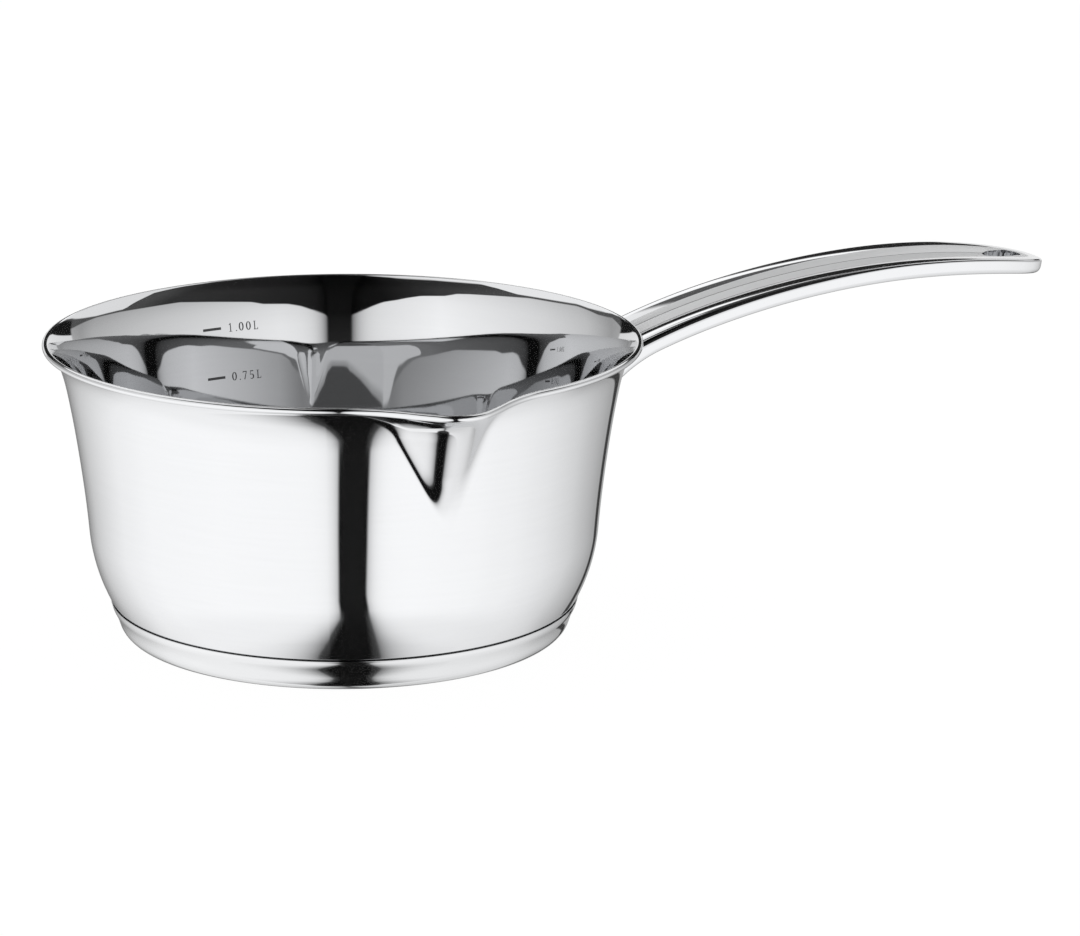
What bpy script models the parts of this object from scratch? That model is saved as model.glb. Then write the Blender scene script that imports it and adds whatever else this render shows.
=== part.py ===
"""Stainless steel saucepan: drawn pan body with a pressed pouring spout, capsule base, cast handle.

Metres, +Z up. The origin is the centre of the base's resting face. The handle points along +X and
the spout along -Y.
"""

import math

import bmesh
import bpy
from mathutils import Vector

# Pan body
RIM_RADIUS = 0.0830
RIM_HEIGHT = 0.0833
BEAD_RADIUS = 0.00095
BODY_WALL = 0.0008
FLARE_DROP = 0.0098
WALL_TOP_RADIUS = 0.0774
WALL_TOP_LEAN = math.radians(11.0)
WALL_FOOT_LEAN = math.radians(4.5)
LOWER_CURVE_HEIGHT = 0.0299
LOWER_CURVE_RADIUS = 0.0505
FLOOR_CORNER_RADIUS = 0.0130
SHOULDER_CORNER_RADIUS = 0.0067

# Pouring spout
SPOUT_REACH = 0.0134
SPOUT_THROAT_HALF_WIDTH = 0.0123
SPOUT_LIP_SPREAD = 0.0042
SPOUT_FOOT_HEIGHT = 0.0525
SPOUT_RIDGE_ROUND = 0.0045
SPOUT_FOLD_ROUND = 0.0022
SPOUT_LIP_FOLD_ROUND = 0.0080
SPOUT_LIP_POWER = 3

# Capsule base
CAP_WALL = 0.0006
SEAM_HEIGHT = 0.0099
CAP_FOOT_RADIUS = 0.0620
CAP_CORNER_RADIUS = 0.0013
CAP_SIDE_BULGE = 0.0003
CORE_THICKNESS = 0.0050
CORE_MARGIN = 0.0012
CORE_EDGE = 0.0014
FIT_GAP = 0.0003

# Handle
HANDLE_LENGTH = 0.1406
HANDLE_ROOT_WIDTH = 0.0272
HANDLE_WIDTH = 0.0296
HANDLE_ROOT_THICKNESS = 0.0054
HANDLE_TIP_THICKNESS = 0.0045
HANDLE_ROOT_DROP = 0.0088
HANDLE_TIP_RISE = 0.0070
ARCH_ROOT_RISE = 0.0131
ARCH_ROOT_RUN = 0.0270
ARCH_TIP_RISE = 0.0109
ARCH_TIP_RUN = 0.0541
TIP_TAPER_LENGTH = 0.0417
TIP_POWER = 2.72
HANDLE_EDGE_RADIUS = 0.0021
CHANNEL_DEPTH = 0.0012
RAIL_SHARE = 0.74
RAIL_POWER = 3
GUSSET_DEPTH = 0.0014
GUSSET_LENGTH = 0.0120
HOLE_LENGTH = 0.0116
HOLE_WIDTH = 0.0084
HOLE_FROM_TIP = 0.0060
CUT_OVERRUN = 0.0100

# Facets
MERGE_DISTANCE = 0.00001
SHARP_ANGLE = math.radians(30)
SPOUT_STEPS = 38
ROUND_STEPS = 44
TURNED_STEPS = 72
LOWER_STEPS = 5
PLAIN_STEPS = 2
WALL_STEPS = 6
FLARE_STEPS = 6
BEAD_STEPS = 8
HANDLE_STEPS = 22
TIP_STEPS = 10
EDGE_STEPS = 4
RAIL_STEPS = 4
HOLE_STEPS = 12
HALVINGS = 40


def clear_scene():
    """Removes every object of the scene."""
    for obj in list(bpy.data.objects):
        bpy.data.objects.remove(obj, do_unlink=True)


def make_material(name, colour, roughness):
    """A plain metal."""
    material = bpy.data.materials.new(name)
    material.use_nodes = True
    shader = material.node_tree.nodes["Principled BSDF"]
    shader.inputs["Base Color"].default_value = (*colour, 1.0)
    shader.inputs["Metallic"].default_value = 1.0
    shader.inputs["Roughness"].default_value = roughness
    return material


def add_object(name, mesh, material=None):
    """Links a mesh to the scene as an object, smooth except at its sharp edges."""
    if material:
        mesh.materials.append(material)
        mesh.shade_smooth()
        mesh.set_sharp_from_angle(angle=SHARP_ANGLE)
    obj = bpy.data.objects.new(name, mesh)
    bpy.context.scene.collection.objects.link(obj)
    return obj


def mesh_from_bmesh(name, shape):
    """Turns a bmesh into a mesh with its faces pointing out."""
    bmesh.ops.recalc_face_normals(shape, faces=shape.faces)
    mesh = bpy.data.meshes.new(name)
    shape.to_mesh(mesh)
    shape.free()
    return mesh


def add_turned(name, profile, steps, material=None):
    """Turns an open profile of (radius, height) points, both ends on the axis, into a solid."""
    mesh = bpy.data.meshes.new(name)
    points = [(radius, 0, height) for radius, height in profile]
    edges = [(i, i + 1) for i in range(len(points) - 1)]
    mesh.from_pydata(points, edges, [])
    obj = add_object(name, mesh, material)
    screw = obj.modifiers.new("Turn", "SCREW")
    screw.axis = "Z"
    screw.steps = steps
    screw.render_steps = steps
    screw.use_merge_vertices = True
    screw.merge_threshold = MERGE_DISTANCE
    return obj


def cut(obj, cutter):
    """Takes the cutter's volume from the object."""
    cutter.hide_render = True
    cutter.display_type = "WIRE"
    boolean = obj.modifiers.new(cutter.name, "BOOLEAN")
    boolean.operation = "DIFFERENCE"
    boolean.solver = "EXACT"
    boolean.object = cutter


def arc_points(centre, radius, start, end, steps):
    """Points along an arc of a profile, both ends included, angles from the +radius direction."""
    angles = [start + (end - start) * i / steps for i in range(steps + 1)]
    return [
        (centre[0] + radius * math.cos(a), centre[1] + radius * math.sin(a)) for a in angles
    ]


def circle_radius_at(centre, radius, height):
    """Radius from the pan's axis of an arc's outer side at a height."""
    return centre[0] + math.sqrt(radius**2 - (height - centre[1]) ** 2)


# The profile of the pan body. Its skin is the outer surface of the wall, the flare and the lower
# curve, and a depth of BODY_WALL behind it is the inner surface.

WALL_TOP_HEIGHT = RIM_HEIGHT - FLARE_DROP
BEAD_CENTRE = (RIM_RADIUS - BEAD_RADIUS, RIM_HEIGHT - BEAD_RADIUS)
BODY_UNDERSIDE = CAP_WALL + FIT_GAP + CORE_THICKNESS + FIT_GAP
BODY_FLOOR = BODY_UNDERSIDE + BODY_WALL


def skin_normal(angle):
    """Outward normal of the skin where it leans out from the vertical by an angle."""
    return math.cos(angle), -math.sin(angle)


def wall_arc():
    """Centre and radius of the arc that the wall follows; the centre lies outside the pan."""
    rise = WALL_TOP_HEIGHT - LOWER_CURVE_HEIGHT
    radius = rise / (math.sin(WALL_TOP_LEAN) - math.sin(WALL_FOOT_LEAN))
    normal = skin_normal(WALL_TOP_LEAN)
    return (WALL_TOP_RADIUS + radius * normal[0], WALL_TOP_HEIGHT + radius * normal[1]), radius


def wall_lean(height):
    """How far the wall leans out from the vertical at a height."""
    centre, radius = wall_arc()
    return math.asin((height - centre[1]) / radius)


def wall_radius(height):
    """Radius of the wall's outer surface at a height."""
    centre, radius = wall_arc()
    return centre[0] - radius * math.cos(wall_lean(height))


def lower_curve_centre():
    """Centre of the arc that turns the wall in towards the base."""
    return (
        wall_radius(LOWER_CURVE_HEIGHT) - LOWER_CURVE_RADIUS * math.cos(WALL_FOOT_LEAN),
        LOWER_CURVE_HEIGHT + LOWER_CURVE_RADIUS * math.sin(WALL_FOOT_LEAN),
    )


def seam_radius():
    """Outer radius of the body where the base's cap ends."""
    return circle_radius_at(lower_curve_centre(), LOWER_CURVE_RADIUS, SEAM_HEIGHT)


def flare_arc():
    """Centre, radius and end angle of the flare's middle line, from the wall to the bead.

    The bead is rolled outwards, so its circle touches the inner surface where the flare ends.
    """
    normal = skin_normal(WALL_TOP_LEAN)
    start = (
        WALL_TOP_RADIUS - normal[0] * BODY_WALL / 2,
        WALL_TOP_HEIGHT - normal[1] * BODY_WALL / 2,
    )
    roll = BEAD_RADIUS - BODY_WALL / 2
    reach = BEAD_CENTRE[0] - start[0]
    rise = BEAD_CENTRE[1] - start[1]
    out = reach * normal[0] + rise * normal[1]
    radius = (reach**2 + rise**2 - roll**2) / (2 * (out - roll))
    centre = (start[0] + radius * normal[0], start[1] + radius * normal[1])
    end_lean = math.atan2(BEAD_CENTRE[1] - centre[1], centre[0] - BEAD_CENTRE[0])
    return centre, radius, end_lean


def flare_end_height():
    """Height where the flare's middle line ends in the bead."""
    centre, radius, end_lean = flare_arc()
    return centre[1] - radius * skin_normal(end_lean)[1]


def skin_stations():
    """Stations up the skin as (radius, height, lean, flare share), lower curve first."""
    centre = lower_curve_centre()
    seam_angle = math.asin((SEAM_HEIGHT - centre[1]) / LOWER_CURVE_RADIUS)
    lower = [
        (*point, -seam_angle + (seam_angle + WALL_FOOT_LEAN) * i / LOWER_STEPS, 0.0)
        for i, point in enumerate(
            arc_points(centre, LOWER_CURVE_RADIUS, seam_angle, -WALL_FOOT_LEAN, LOWER_STEPS)
        )
    ]
    low, foot = LOWER_CURVE_HEIGHT, SPOUT_FOOT_HEIGHT
    heights = [low + (foot - low) * i / PLAIN_STEPS for i in range(1, PLAIN_STEPS)]
    heights += [
        foot + (WALL_TOP_HEIGHT - foot) * i / WALL_STEPS for i in range(WALL_STEPS + 1)
    ]
    wall = [(wall_radius(height), height, wall_lean(height), 0.0) for height in heights]
    centre, radius, end_lean = flare_arc()
    flare = []
    for i in range(1, FLARE_STEPS):
        share = i / FLARE_STEPS
        lean = WALL_TOP_LEAN + (end_lean - WALL_TOP_LEAN) * share
        normal = skin_normal(lean)
        reach = radius - BODY_WALL / 2
        flare.append((centre[0] - reach * normal[0], centre[1] - reach * normal[1], lean, share))
    return lower + wall + flare


def bead_points():
    """Points round the rim's bead, from the outer skin over the top to the inner skin."""
    _, _, lean = flare_arc()
    along = (math.sin(lean), math.cos(lean))
    normal = skin_normal(lean)
    first = -math.asin((BEAD_RADIUS - BODY_WALL) / BEAD_RADIUS)
    last = 3 * math.pi / 2
    points = []
    for i in range(BEAD_STEPS + 1):
        turn = first + (last - first) * i / BEAD_STEPS
        points.append(
            tuple(
                middle + BEAD_RADIUS * (math.sin(turn) * out - math.cos(turn) * ahead)
                for middle, out, ahead in zip(BEAD_CENTRE, normal, along)
            )
        )
    return points


def outer_floor_points():
    """The body's rounded underside, from its flat floor out to the shoulder under the seam."""
    centre = lower_curve_centre()
    seam_lean = -math.asin((SEAM_HEIGHT - centre[1]) / LOWER_CURVE_RADIUS)
    shoulder = seam_radius() - CAP_WALL - FIT_GAP
    corner = SHOULDER_CORNER_RADIUS
    corner_centre = (shoulder - corner * math.cos(seam_lean), BODY_UNDERSIDE + corner)
    return arc_points(corner_centre, corner, -math.pi / 2, -seam_lean, LOWER_STEPS)


def inner_floor_points():
    """The bowl's rounded corner, from the lower curve in to the flat floor."""
    centre = lower_curve_centre()
    inner_radius = LOWER_CURVE_RADIUS - BODY_WALL
    rise = BODY_FLOOR + FLOOR_CORNER_RADIUS - centre[1]
    reach = math.sqrt((inner_radius - FLOOR_CORNER_RADIUS) ** 2 - rise**2)
    corner_centre = (centre[0] + reach, centre[1] + rise)
    start = math.atan2(rise, reach)
    lower = arc_points(centre, inner_radius, -WALL_FOOT_LEAN, start, LOWER_STEPS - 1)
    corner = arc_points(corner_centre, FLOOR_CORNER_RADIUS, start, -math.pi / 2, LOWER_STEPS)
    return lower + corner[1:]


def body_profile():
    """The body's section as (radius, height, station height, flare share) points."""
    stations = skin_stations()
    outer = [(r, z, 0.0, 0.0) for r, z in outer_floor_points()]
    outer += [(r, z, z, share) for r, z, _, share in stations]
    bead = [(r, z, flare_end_height(), 1.0) for r, z in bead_points()]
    inner = []
    for r, z, lean, share in reversed(stations[LOWER_STEPS + 1 :]):
        normal = skin_normal(lean)
        inner.append((r - normal[0] * BODY_WALL, z - normal[1] * BODY_WALL, z, share))
    inner += [(r, z, 0.0, 0.0) for r, z in inner_floor_points()]
    return outer + bead + inner


def spout_half_width(height, flare_share):
    """Distance from the ridge to the folds: a straight V up the wall, wider up the flare."""
    low = SPOUT_RIDGE_ROUND / 2 - SPOUT_FOLD_ROUND
    rise_share = (height - SPOUT_FOOT_HEIGHT) / (WALL_TOP_HEIGHT - SPOUT_FOOT_HEIGHT)
    straight = low + (SPOUT_THROAT_HALF_WIDTH - low) * rise_share
    return straight + SPOUT_LIP_SPREAD * flare_share**SPOUT_LIP_POWER


def spout_section(aside, height, flare_share):
    """Depth of the spout's section where its flanks slope one to one, ridge and folds rounded."""
    if aside < SPOUT_RIDGE_ROUND:
        aside = (SPOUT_RIDGE_ROUND + aside**2 / SPOUT_RIDGE_ROUND) / 2
    inside = spout_half_width(height, flare_share) - aside
    fold = SPOUT_FOLD_ROUND + (SPOUT_LIP_FOLD_ROUND - SPOUT_FOLD_ROUND) * flare_share**2
    if inside < -fold:
        return 0.0
    if inside < fold:
        return (inside + fold) ** 2 / (4 * fold)
    return inside


def spout_reach(radius, turn, height, flare_share):
    """How far the spout is pressed out where the skin stands at a height and a turn from it."""
    if height <= SPOUT_FOOT_HEIGHT or math.cos(turn) < 0:
        return 0.0
    depth = spout_section(abs(radius * math.sin(turn)), height, flare_share)
    return SPOUT_REACH * depth / spout_section(0.0, flare_end_height(), 1.0)


def body_turns():
    """Angles round the pan from the spout's middle, close together across the spout."""
    lip_half_width = spout_half_width(flare_end_height(), 1.0) + SPOUT_LIP_FOLD_ROUND
    half = lip_half_width / WALL_TOP_RADIUS
    near = [half * (2 * i / SPOUT_STEPS - 1) for i in range(SPOUT_STEPS)]
    rest = 2 * math.pi - 2 * half
    far = [half + rest * i / ROUND_STEPS for i in range(ROUND_STEPS)]
    return near + far


def make_pan_body(material):
    """Lofts the body's section round the pan, pressed out at the spout."""
    profile = body_profile()
    shape = bmesh.new()
    rings = []
    for turn in body_turns():
        across, forward = math.sin(turn), -math.cos(turn)
        ring = []
        for radius, z, height, share in profile:
            reach = radius + spout_reach(radius, turn, height, share)
            ring.append(shape.verts.new((reach * across, reach * forward, z)))
        rings.append(ring)
    for i, ring in enumerate(rings):
        following = rings[(i + 1) % len(rings)]
        for k in range(len(profile) - 1):
            shape.faces.new((ring[k], following[k], following[k + 1], ring[k + 1]))
    shape.faces.new([ring[0] for ring in rings])
    shape.faces.new([ring[-1] for ring in rings])
    return add_object("pan_body", mesh_from_bmesh("pan_body", shape), material)


# Capsule base


def cap_side(inset):
    """The cap's side from its foot up to the seam, at a distance in from its outer face."""
    foot = (CAP_FOOT_RADIUS - inset, CAP_CORNER_RADIUS)
    top = (seam_radius() - inset, SEAM_HEIGHT - FIT_GAP)
    points = []
    for i in range(LOWER_STEPS + 1):
        share = i / LOWER_STEPS
        bulge = 4 * CAP_SIDE_BULGE * share * (1 - share)
        points.append(
            (
                foot[0] + (top[0] - foot[0]) * share + bulge,
                foot[1] + (top[1] - foot[1]) * share,
            )
        )
    return points


def make_base_cap(material):
    """A thin steel cup that wraps the core and ends at the seam round the body."""
    inner_corner = CAP_CORNER_RADIUS - CAP_WALL
    centre = (CAP_FOOT_RADIUS - CAP_CORNER_RADIUS, CAP_CORNER_RADIUS)
    inner = [(0, CAP_WALL)]
    inner += arc_points(centre, inner_corner, -math.pi / 2, 0, EDGE_STEPS)[:-1]
    inner += cap_side(CAP_WALL)
    outer = list(reversed(cap_side(0.0)))
    outer += arc_points(centre, CAP_CORNER_RADIUS, 0, -math.pi / 2, EDGE_STEPS)[1:]
    outer += [(0, 0)]
    return add_turned("base_cap", inner + outer, TURNED_STEPS, material)


def make_spreader_core(material):
    """The aluminium disc that fills the cap under the body."""
    radius = CAP_FOOT_RADIUS - CAP_WALL - CORE_MARGIN
    low = CAP_WALL + FIT_GAP
    high = low + CORE_THICKNESS
    profile = [
        (0, high),
        (radius - CORE_EDGE, high),
        (radius, high - CORE_EDGE),
        (radius, low + CORE_EDGE),
        (radius - CORE_EDGE, low),
        (0, low),
    ]
    return add_turned("spreader_core", profile, TURNED_STEPS, material)


# Handle. Its plan is a bar with a tapered round end, its section has two rounded rails with a
# shallow channel between them, and both are carried along an arch.

ROOT_X = wall_radius(RIM_HEIGHT - HANDLE_ROOT_DROP) - BODY_WALL
TIP_X = ROOT_X + HANDLE_LENGTH


def arch_controls():
    """Control points (x, z) of the arch that the handle's crest follows."""
    root = Vector((ROOT_X, RIM_HEIGHT - HANDLE_ROOT_DROP))
    tip = Vector((TIP_X, RIM_HEIGHT + HANDLE_TIP_RISE))
    root_pull = root + Vector((ARCH_ROOT_RUN, ARCH_ROOT_RISE))
    tip_pull = tip + Vector((-ARCH_TIP_RUN, ARCH_TIP_RISE))
    return root, root_pull, tip_pull, tip


def arch_at(x):
    """Point on the arch at x and its slope; before the root the arch runs on straight."""
    a, b, c, d = arch_controls()
    if x <= a.x:
        slope = (b - a).y / (b - a).x
        return Vector((x, a.y + slope * (x - a.x))), slope
    low, high = 0.0, 1.0
    for _ in range(HALVINGS):
        t = (low + high) / 2
        here = (
            a * (1 - t) ** 3 + b * 3 * (1 - t) ** 2 * t + c * 3 * (1 - t) * t**2 + d * t**3
        )
        if here.x < x:
            low = t
        else:
            high = t
    way = (b - a) * (1 - t) ** 2 + (c - b) * 2 * (1 - t) * t + (d - c) * t**2
    return here, way.y / way.x


def place(x, y, depth):
    """The point at a depth below the arch's crest line, square to it."""
    here, slope = arch_at(x)
    length = math.hypot(1, slope)
    return Vector((here.x + depth * slope / length, y, here.y - depth / length))


def half_width(x):
    """Half the handle's width before its end tapers."""
    share = (x - ROOT_X) / (TIP_X - ROOT_X)
    return (HANDLE_ROOT_WIDTH + (HANDLE_WIDTH - HANDLE_ROOT_WIDTH) * share) / 2


def plan_outline():
    """The handle's plan from its root to its tip as (x, y) points of its +Y side."""
    start = ROOT_X - CUT_OVERRUN
    taper_start = TIP_X - TIP_TAPER_LENGTH
    step = (taper_start - start) / HANDLE_STEPS
    side = [(start + step * i, half_width(start + step * i)) for i in range(HANDLE_STEPS)]
    widest = half_width(taper_start)
    for i in range(TIP_STEPS + 1):
        turn = math.pi / 2 * i / TIP_STEPS
        ahead = TIP_TAPER_LENGTH * math.sin(turn) ** (2 / TIP_POWER)
        aside = widest * max(math.cos(turn), 0.0) ** (2 / TIP_POWER)
        side.append((taper_start + ahead, aside if i < TIP_STEPS else 0.0))
    return side


def handle_thickness(x):
    """Thickness of the handle, with the gusset that deepens its root."""
    share = (x - ROOT_X) / (TIP_X - ROOT_X)
    thickness = HANDLE_ROOT_THICKNESS + (HANDLE_TIP_THICKNESS - HANDLE_ROOT_THICKNESS) * share
    gusset_share = 1 - (x - ROOT_X) / GUSSET_LENGTH
    return thickness + GUSSET_DEPTH * max(gusset_share, 0.0) ** 2


def channel_depth(x):
    """Depth of the channel, which runs out over the hang hole."""
    run_out_end = TIP_X - HOLE_FROM_TIP
    share = (run_out_end - x) / HOLE_LENGTH
    return CHANNEL_DEPTH * min(max(share, 0.0), 1.0)


def section_levels():
    """The section from the bottom to the channel as (kind, share) pairs."""
    levels = [("under", 1.0)]
    levels += [("low_edge", i / EDGE_STEPS) for i in range(EDGE_STEPS + 1)]
    levels += [("high_edge", i / EDGE_STEPS) for i in range(EDGE_STEPS + 1)]
    levels += [("rail", i / RAIL_STEPS) for i in range(1, RAIL_STEPS + 1)]
    return levels


def section_point(kind, share, x, y, spine_x):
    """The handle's point at a section level, for a point (x, y) of its plan outline."""
    width = math.hypot(x - spine_x, y)
    thickness = handle_thickness(x)
    edge = min(HANDLE_EDGE_RADIUS, width / 2)
    turn = math.pi / 2 * share
    if kind == "under":
        inset, depth = RAIL_SHARE * width, thickness
    elif kind == "low_edge":
        inset, depth = edge * (1 - math.sin(turn)), thickness - edge * (1 - math.cos(turn))
    elif kind == "high_edge":
        inset, depth = edge * (1 - math.cos(turn)), edge * (1 - math.sin(turn))
    else:
        inset = edge + (RAIL_SHARE * width - edge) * share
        depth = channel_depth(x) * share**RAIL_POWER
    inner_x = x + (spine_x - x) * inset / width
    inner_y = y * (1 - inset / width)
    return place(inner_x, inner_y, depth)


def handle_rings(shape):
    """Rings of points along the handle's outline, one for each level of its section."""
    side = plan_outline()
    outline = side + [(x, -y) for x, y in reversed(side[:-1])]
    spine_end = TIP_X - HOLE_FROM_TIP - HOLE_WIDTH / 2
    rings = []
    for kind, share in section_levels():
        ring = []
        for x, y in outline:
            point = section_point(kind, share, x, y, min(x, spine_end))
            ring.append(shape.verts.new(point))
        rings.append(ring)
    return rings


def bridge_ladder(shape, ring):
    """Closes the inside of an outline ring with strips from side to side."""
    last = len(ring) - 1
    tip = last // 2
    for i in range(tip - 1):
        shape.faces.new((ring[i], ring[i + 1], ring[last - i - 1], ring[last - i]))
    shape.faces.new((ring[tip - 1], ring[tip], ring[tip + 1]))


def make_handle_bar(material):
    """The cast bar, before its root and its hang hole are cut."""
    shape = bmesh.new()
    rings = handle_rings(shape)
    for below, above in zip(rings, rings[1:]):
        for i in range(len(below) - 1):
            shape.faces.new((below[i], below[i + 1], above[i + 1], above[i]))
    bridge_ladder(shape, rings[0])
    bridge_ladder(shape, rings[-1])
    root = [ring[0] for ring in rings] + [ring[-1] for ring in reversed(rings)]
    shape.faces.new(root)
    bmesh.ops.remove_doubles(shape, verts=shape.verts, dist=MERGE_DISTANCE)
    return add_object("cast_handle", mesh_from_bmesh("cast_handle", shape), material)


def make_hole_cutter():
    """A straight slot with round ends, square to the handle at the hang hole."""
    middle = TIP_X - HOLE_FROM_TIP - HOLE_LENGTH / 2
    straight = (HOLE_LENGTH - HOLE_WIDTH) / 2
    outline = []
    for end in (1, -1):
        for i in range(HOLE_STEPS + 1):
            turn = end * math.pi / 2 - end * math.pi * i / HOLE_STEPS
            ahead = end * straight + HOLE_WIDTH / 2 * math.cos(turn) * end
            outline.append((ahead, HOLE_WIDTH / 2 * math.sin(turn)))
    here, slope = arch_at(middle)
    length = math.hypot(1, slope)
    along = Vector((1 / length, 0, slope / length))
    up = Vector((-slope / length, 0, 1 / length))
    centre = Vector((here.x, 0, here.y))
    shape = bmesh.new()
    low = -HANDLE_ROOT_THICKNESS - CUT_OVERRUN
    floor = [
        shape.verts.new(centre + along * a + Vector((0, b, 0)) + up * low) for a, b in outline
    ]
    base = shape.faces.new(floor)
    raised = bmesh.ops.extrude_face_region(shape, geom=[base])["geom"]
    corners = [item for item in raised if isinstance(item, bmesh.types.BMVert)]
    bmesh.ops.translate(shape, verts=corners, vec=up * (CUT_OVERRUN - low))
    return add_object("hole_cutter", mesh_from_bmesh("hole_cutter", shape))


def make_root_cutter():
    """The pan's outer form, grown by the fit gap, that shapes the handle's root."""
    rim = RIM_RADIUS + FIT_GAP
    bead_low = RIM_HEIGHT - 2 * BEAD_RADIUS - FIT_GAP
    profile = [(0, RIM_HEIGHT + CUT_OVERRUN), (rim, RIM_HEIGHT + CUT_OVERRUN), (rim, bead_low)]
    for radius, height, lean, _ in reversed(skin_stations()[LOWER_STEPS:]):
        normal = skin_normal(lean)
        profile.append((radius + FIT_GAP * normal[0], height + FIT_GAP * normal[1]))
    profile.append((0, profile[-1][1]))
    return add_turned("root_cutter", profile, TURNED_STEPS)


def make_cast_handle(material):
    """The handle, hollowed to the pan's wall at its root and pierced near its tip."""
    handle = make_handle_bar(material)
    cut(handle, make_root_cutter())
    cut(handle, make_hole_cutter())
    return handle


def main():
    """Builds the saucepan."""
    clear_scene()
    polished = make_material("polished_steel", (0.80, 0.81, 0.82), 0.06)
    aluminium = make_material("aluminium", (0.72, 0.73, 0.74), 0.35)
    bright = make_material("bright_base_steel", (0.76, 0.77, 0.78), 0.12)
    cast = make_material("cast_steel", (0.80, 0.81, 0.82), 0.08)
    make_pan_body(polished)
    make_spreader_core(aluminium)
    make_base_cap(bright)
    make_cast_handle(cast)


main()
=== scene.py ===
"""Studio scene of a stainless saucepan with a pressed pouring spout and an arched cast handle.

Metres, +Z up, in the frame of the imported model: the handle points along +X, the spout along -Y.
"""

from __future__ import annotations
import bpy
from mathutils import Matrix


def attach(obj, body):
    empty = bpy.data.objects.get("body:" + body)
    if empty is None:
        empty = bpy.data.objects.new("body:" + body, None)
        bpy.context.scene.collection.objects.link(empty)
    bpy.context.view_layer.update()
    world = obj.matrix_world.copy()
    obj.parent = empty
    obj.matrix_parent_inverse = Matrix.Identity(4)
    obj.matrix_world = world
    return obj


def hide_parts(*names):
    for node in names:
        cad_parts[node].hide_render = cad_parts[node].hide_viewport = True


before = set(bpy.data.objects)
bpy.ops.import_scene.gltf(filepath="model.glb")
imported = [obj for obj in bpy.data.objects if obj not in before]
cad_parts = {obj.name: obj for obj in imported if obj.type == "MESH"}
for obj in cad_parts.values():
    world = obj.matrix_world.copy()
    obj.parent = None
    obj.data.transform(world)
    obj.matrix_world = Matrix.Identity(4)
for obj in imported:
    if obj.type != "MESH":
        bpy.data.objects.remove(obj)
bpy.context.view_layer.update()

import logging
import math
from dataclasses import dataclass
from enum import Enum

import bmesh
import bpy
import numpy as np
from mathutils import Matrix, Vector

Point = tuple[float, float]
Span = tuple[float, float]
Band = tuple[float, float, float, float]
Station = tuple[float, float, float, float]
PenPoint = tuple[float, float, float]
Colour = tuple[float, float, float]

log = logging.getLogger("saucepan")

MERGE = 0.000002
TINY = 0.000001
SEED_SIZE = 0.001
SHARP = 35.0
CAST_SHARP = 30.0


# Node trees


class Wire:
    """A value in a node tree. Arithmetic on it adds Math nodes."""

    def __init__(self, tree: bpy.types.NodeTree, source: bpy.types.NodeSocket | float) -> None:
        """Holds a socket or a plain number.

        Args:
            tree: The node tree that new nodes go into.
            source: An output socket, or a number.
        """
        self.tree = tree
        self.source = source

    def wire(self, value: Wire | float) -> Wire:
        """Takes a value as it is, or holds a plain number."""
        return value if isinstance(value, Wire) else Wire(self.tree, value)

    def feed(self, target: bpy.types.NodeSocket) -> None:
        """Puts this value on an input socket.

        Args:
            target: The socket.
        """
        if isinstance(self.source, (int, float)):
            target.default_value = self.source
        else:
            self.tree.links.new(self.source, target)

    def math(self, operation: str, *others: Wire | float) -> Wire:
        """Adds a Math node.

        Args:
            operation: The node's operation.
            others: The second and third inputs.

        Returns:
            The node's value.
        """
        node = self.tree.nodes.new("ShaderNodeMath")
        node.operation = operation
        for target, value in zip(node.inputs, (self, *others)):
            self.wire(value).feed(target)
        return Wire(self.tree, node.outputs[0])

    def __add__(self, other: Wire | float) -> Wire:
        """Sum."""
        return self.math("ADD", other)

    def __sub__(self, other: Wire | float) -> Wire:
        """Difference."""
        return self.math("SUBTRACT", other)

    def __mul__(self, other: Wire | float) -> Wire:
        """Product."""
        return self.math("MULTIPLY", other)

    def __truediv__(self, other: Wire | float) -> Wire:
        """Quotient."""
        return self.math("DIVIDE", other)

    def step(self, low: float, high: float) -> Wire:
        """Smooth step from 0 at low to 1 at high.

        Args:
            low: Where the step starts.
            high: Where it ends, which may be lower.

        Returns:
            The stepped value.
        """
        node = self.tree.nodes.new("ShaderNodeMapRange")
        node.interpolation_type = "SMOOTHSTEP"
        for name, value in (("Value", self), ("From Min", low), ("From Max", high)):
            self.wire(value).feed(node.inputs[name])
        return Wire(self.tree, node.outputs["Result"])

    def band(self, places: Band) -> Wire:
        """Rises to 1 between the first two places and falls to 0 between the last two."""
        return self.step(*places[:2]) * self.step(places[3], places[2])

    def curve(self, points: tuple[Point, ...]) -> Wire:
        """Looks the value up on a curve of straight runs.

        Args:
            points: The curve's points, lowest first.

        Returns:
            The value on the curve.
        """
        low, high = points[0][0], points[-1][0]
        top = max(abs(y) for _, y in points)
        node = self.tree.nodes.new("ShaderNodeFloatCurve")
        line = node.mapping.curves[0]
        spots = [((x - low) / (high - low), (y / top + 1) / 2) for x, y in points]
        for spot in spots[1:-1]:
            line.points.new(*spot)
        line.points[0].location = spots[0]
        line.points[len(spots) - 1].location = spots[-1]
        for point in line.points:
            point.handle_type = "VECTOR"
        node.mapping.update()
        ((self - low) / (high - low)).feed(node.inputs["Value"])
        return (Wire(self.tree, node.outputs["Value"]) * 2 - 1) * top

    def blend(self, start: Wire | float, end: Wire | float) -> Wire:
        """Mixes two values by this one.

        Args:
            start: The value where this is 0.
            end: The value where this is 1.

        Returns:
            The mixed value.
        """
        first = self.wire(start)
        return (self.wire(end) - first) * self + first


# Finishes


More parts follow.
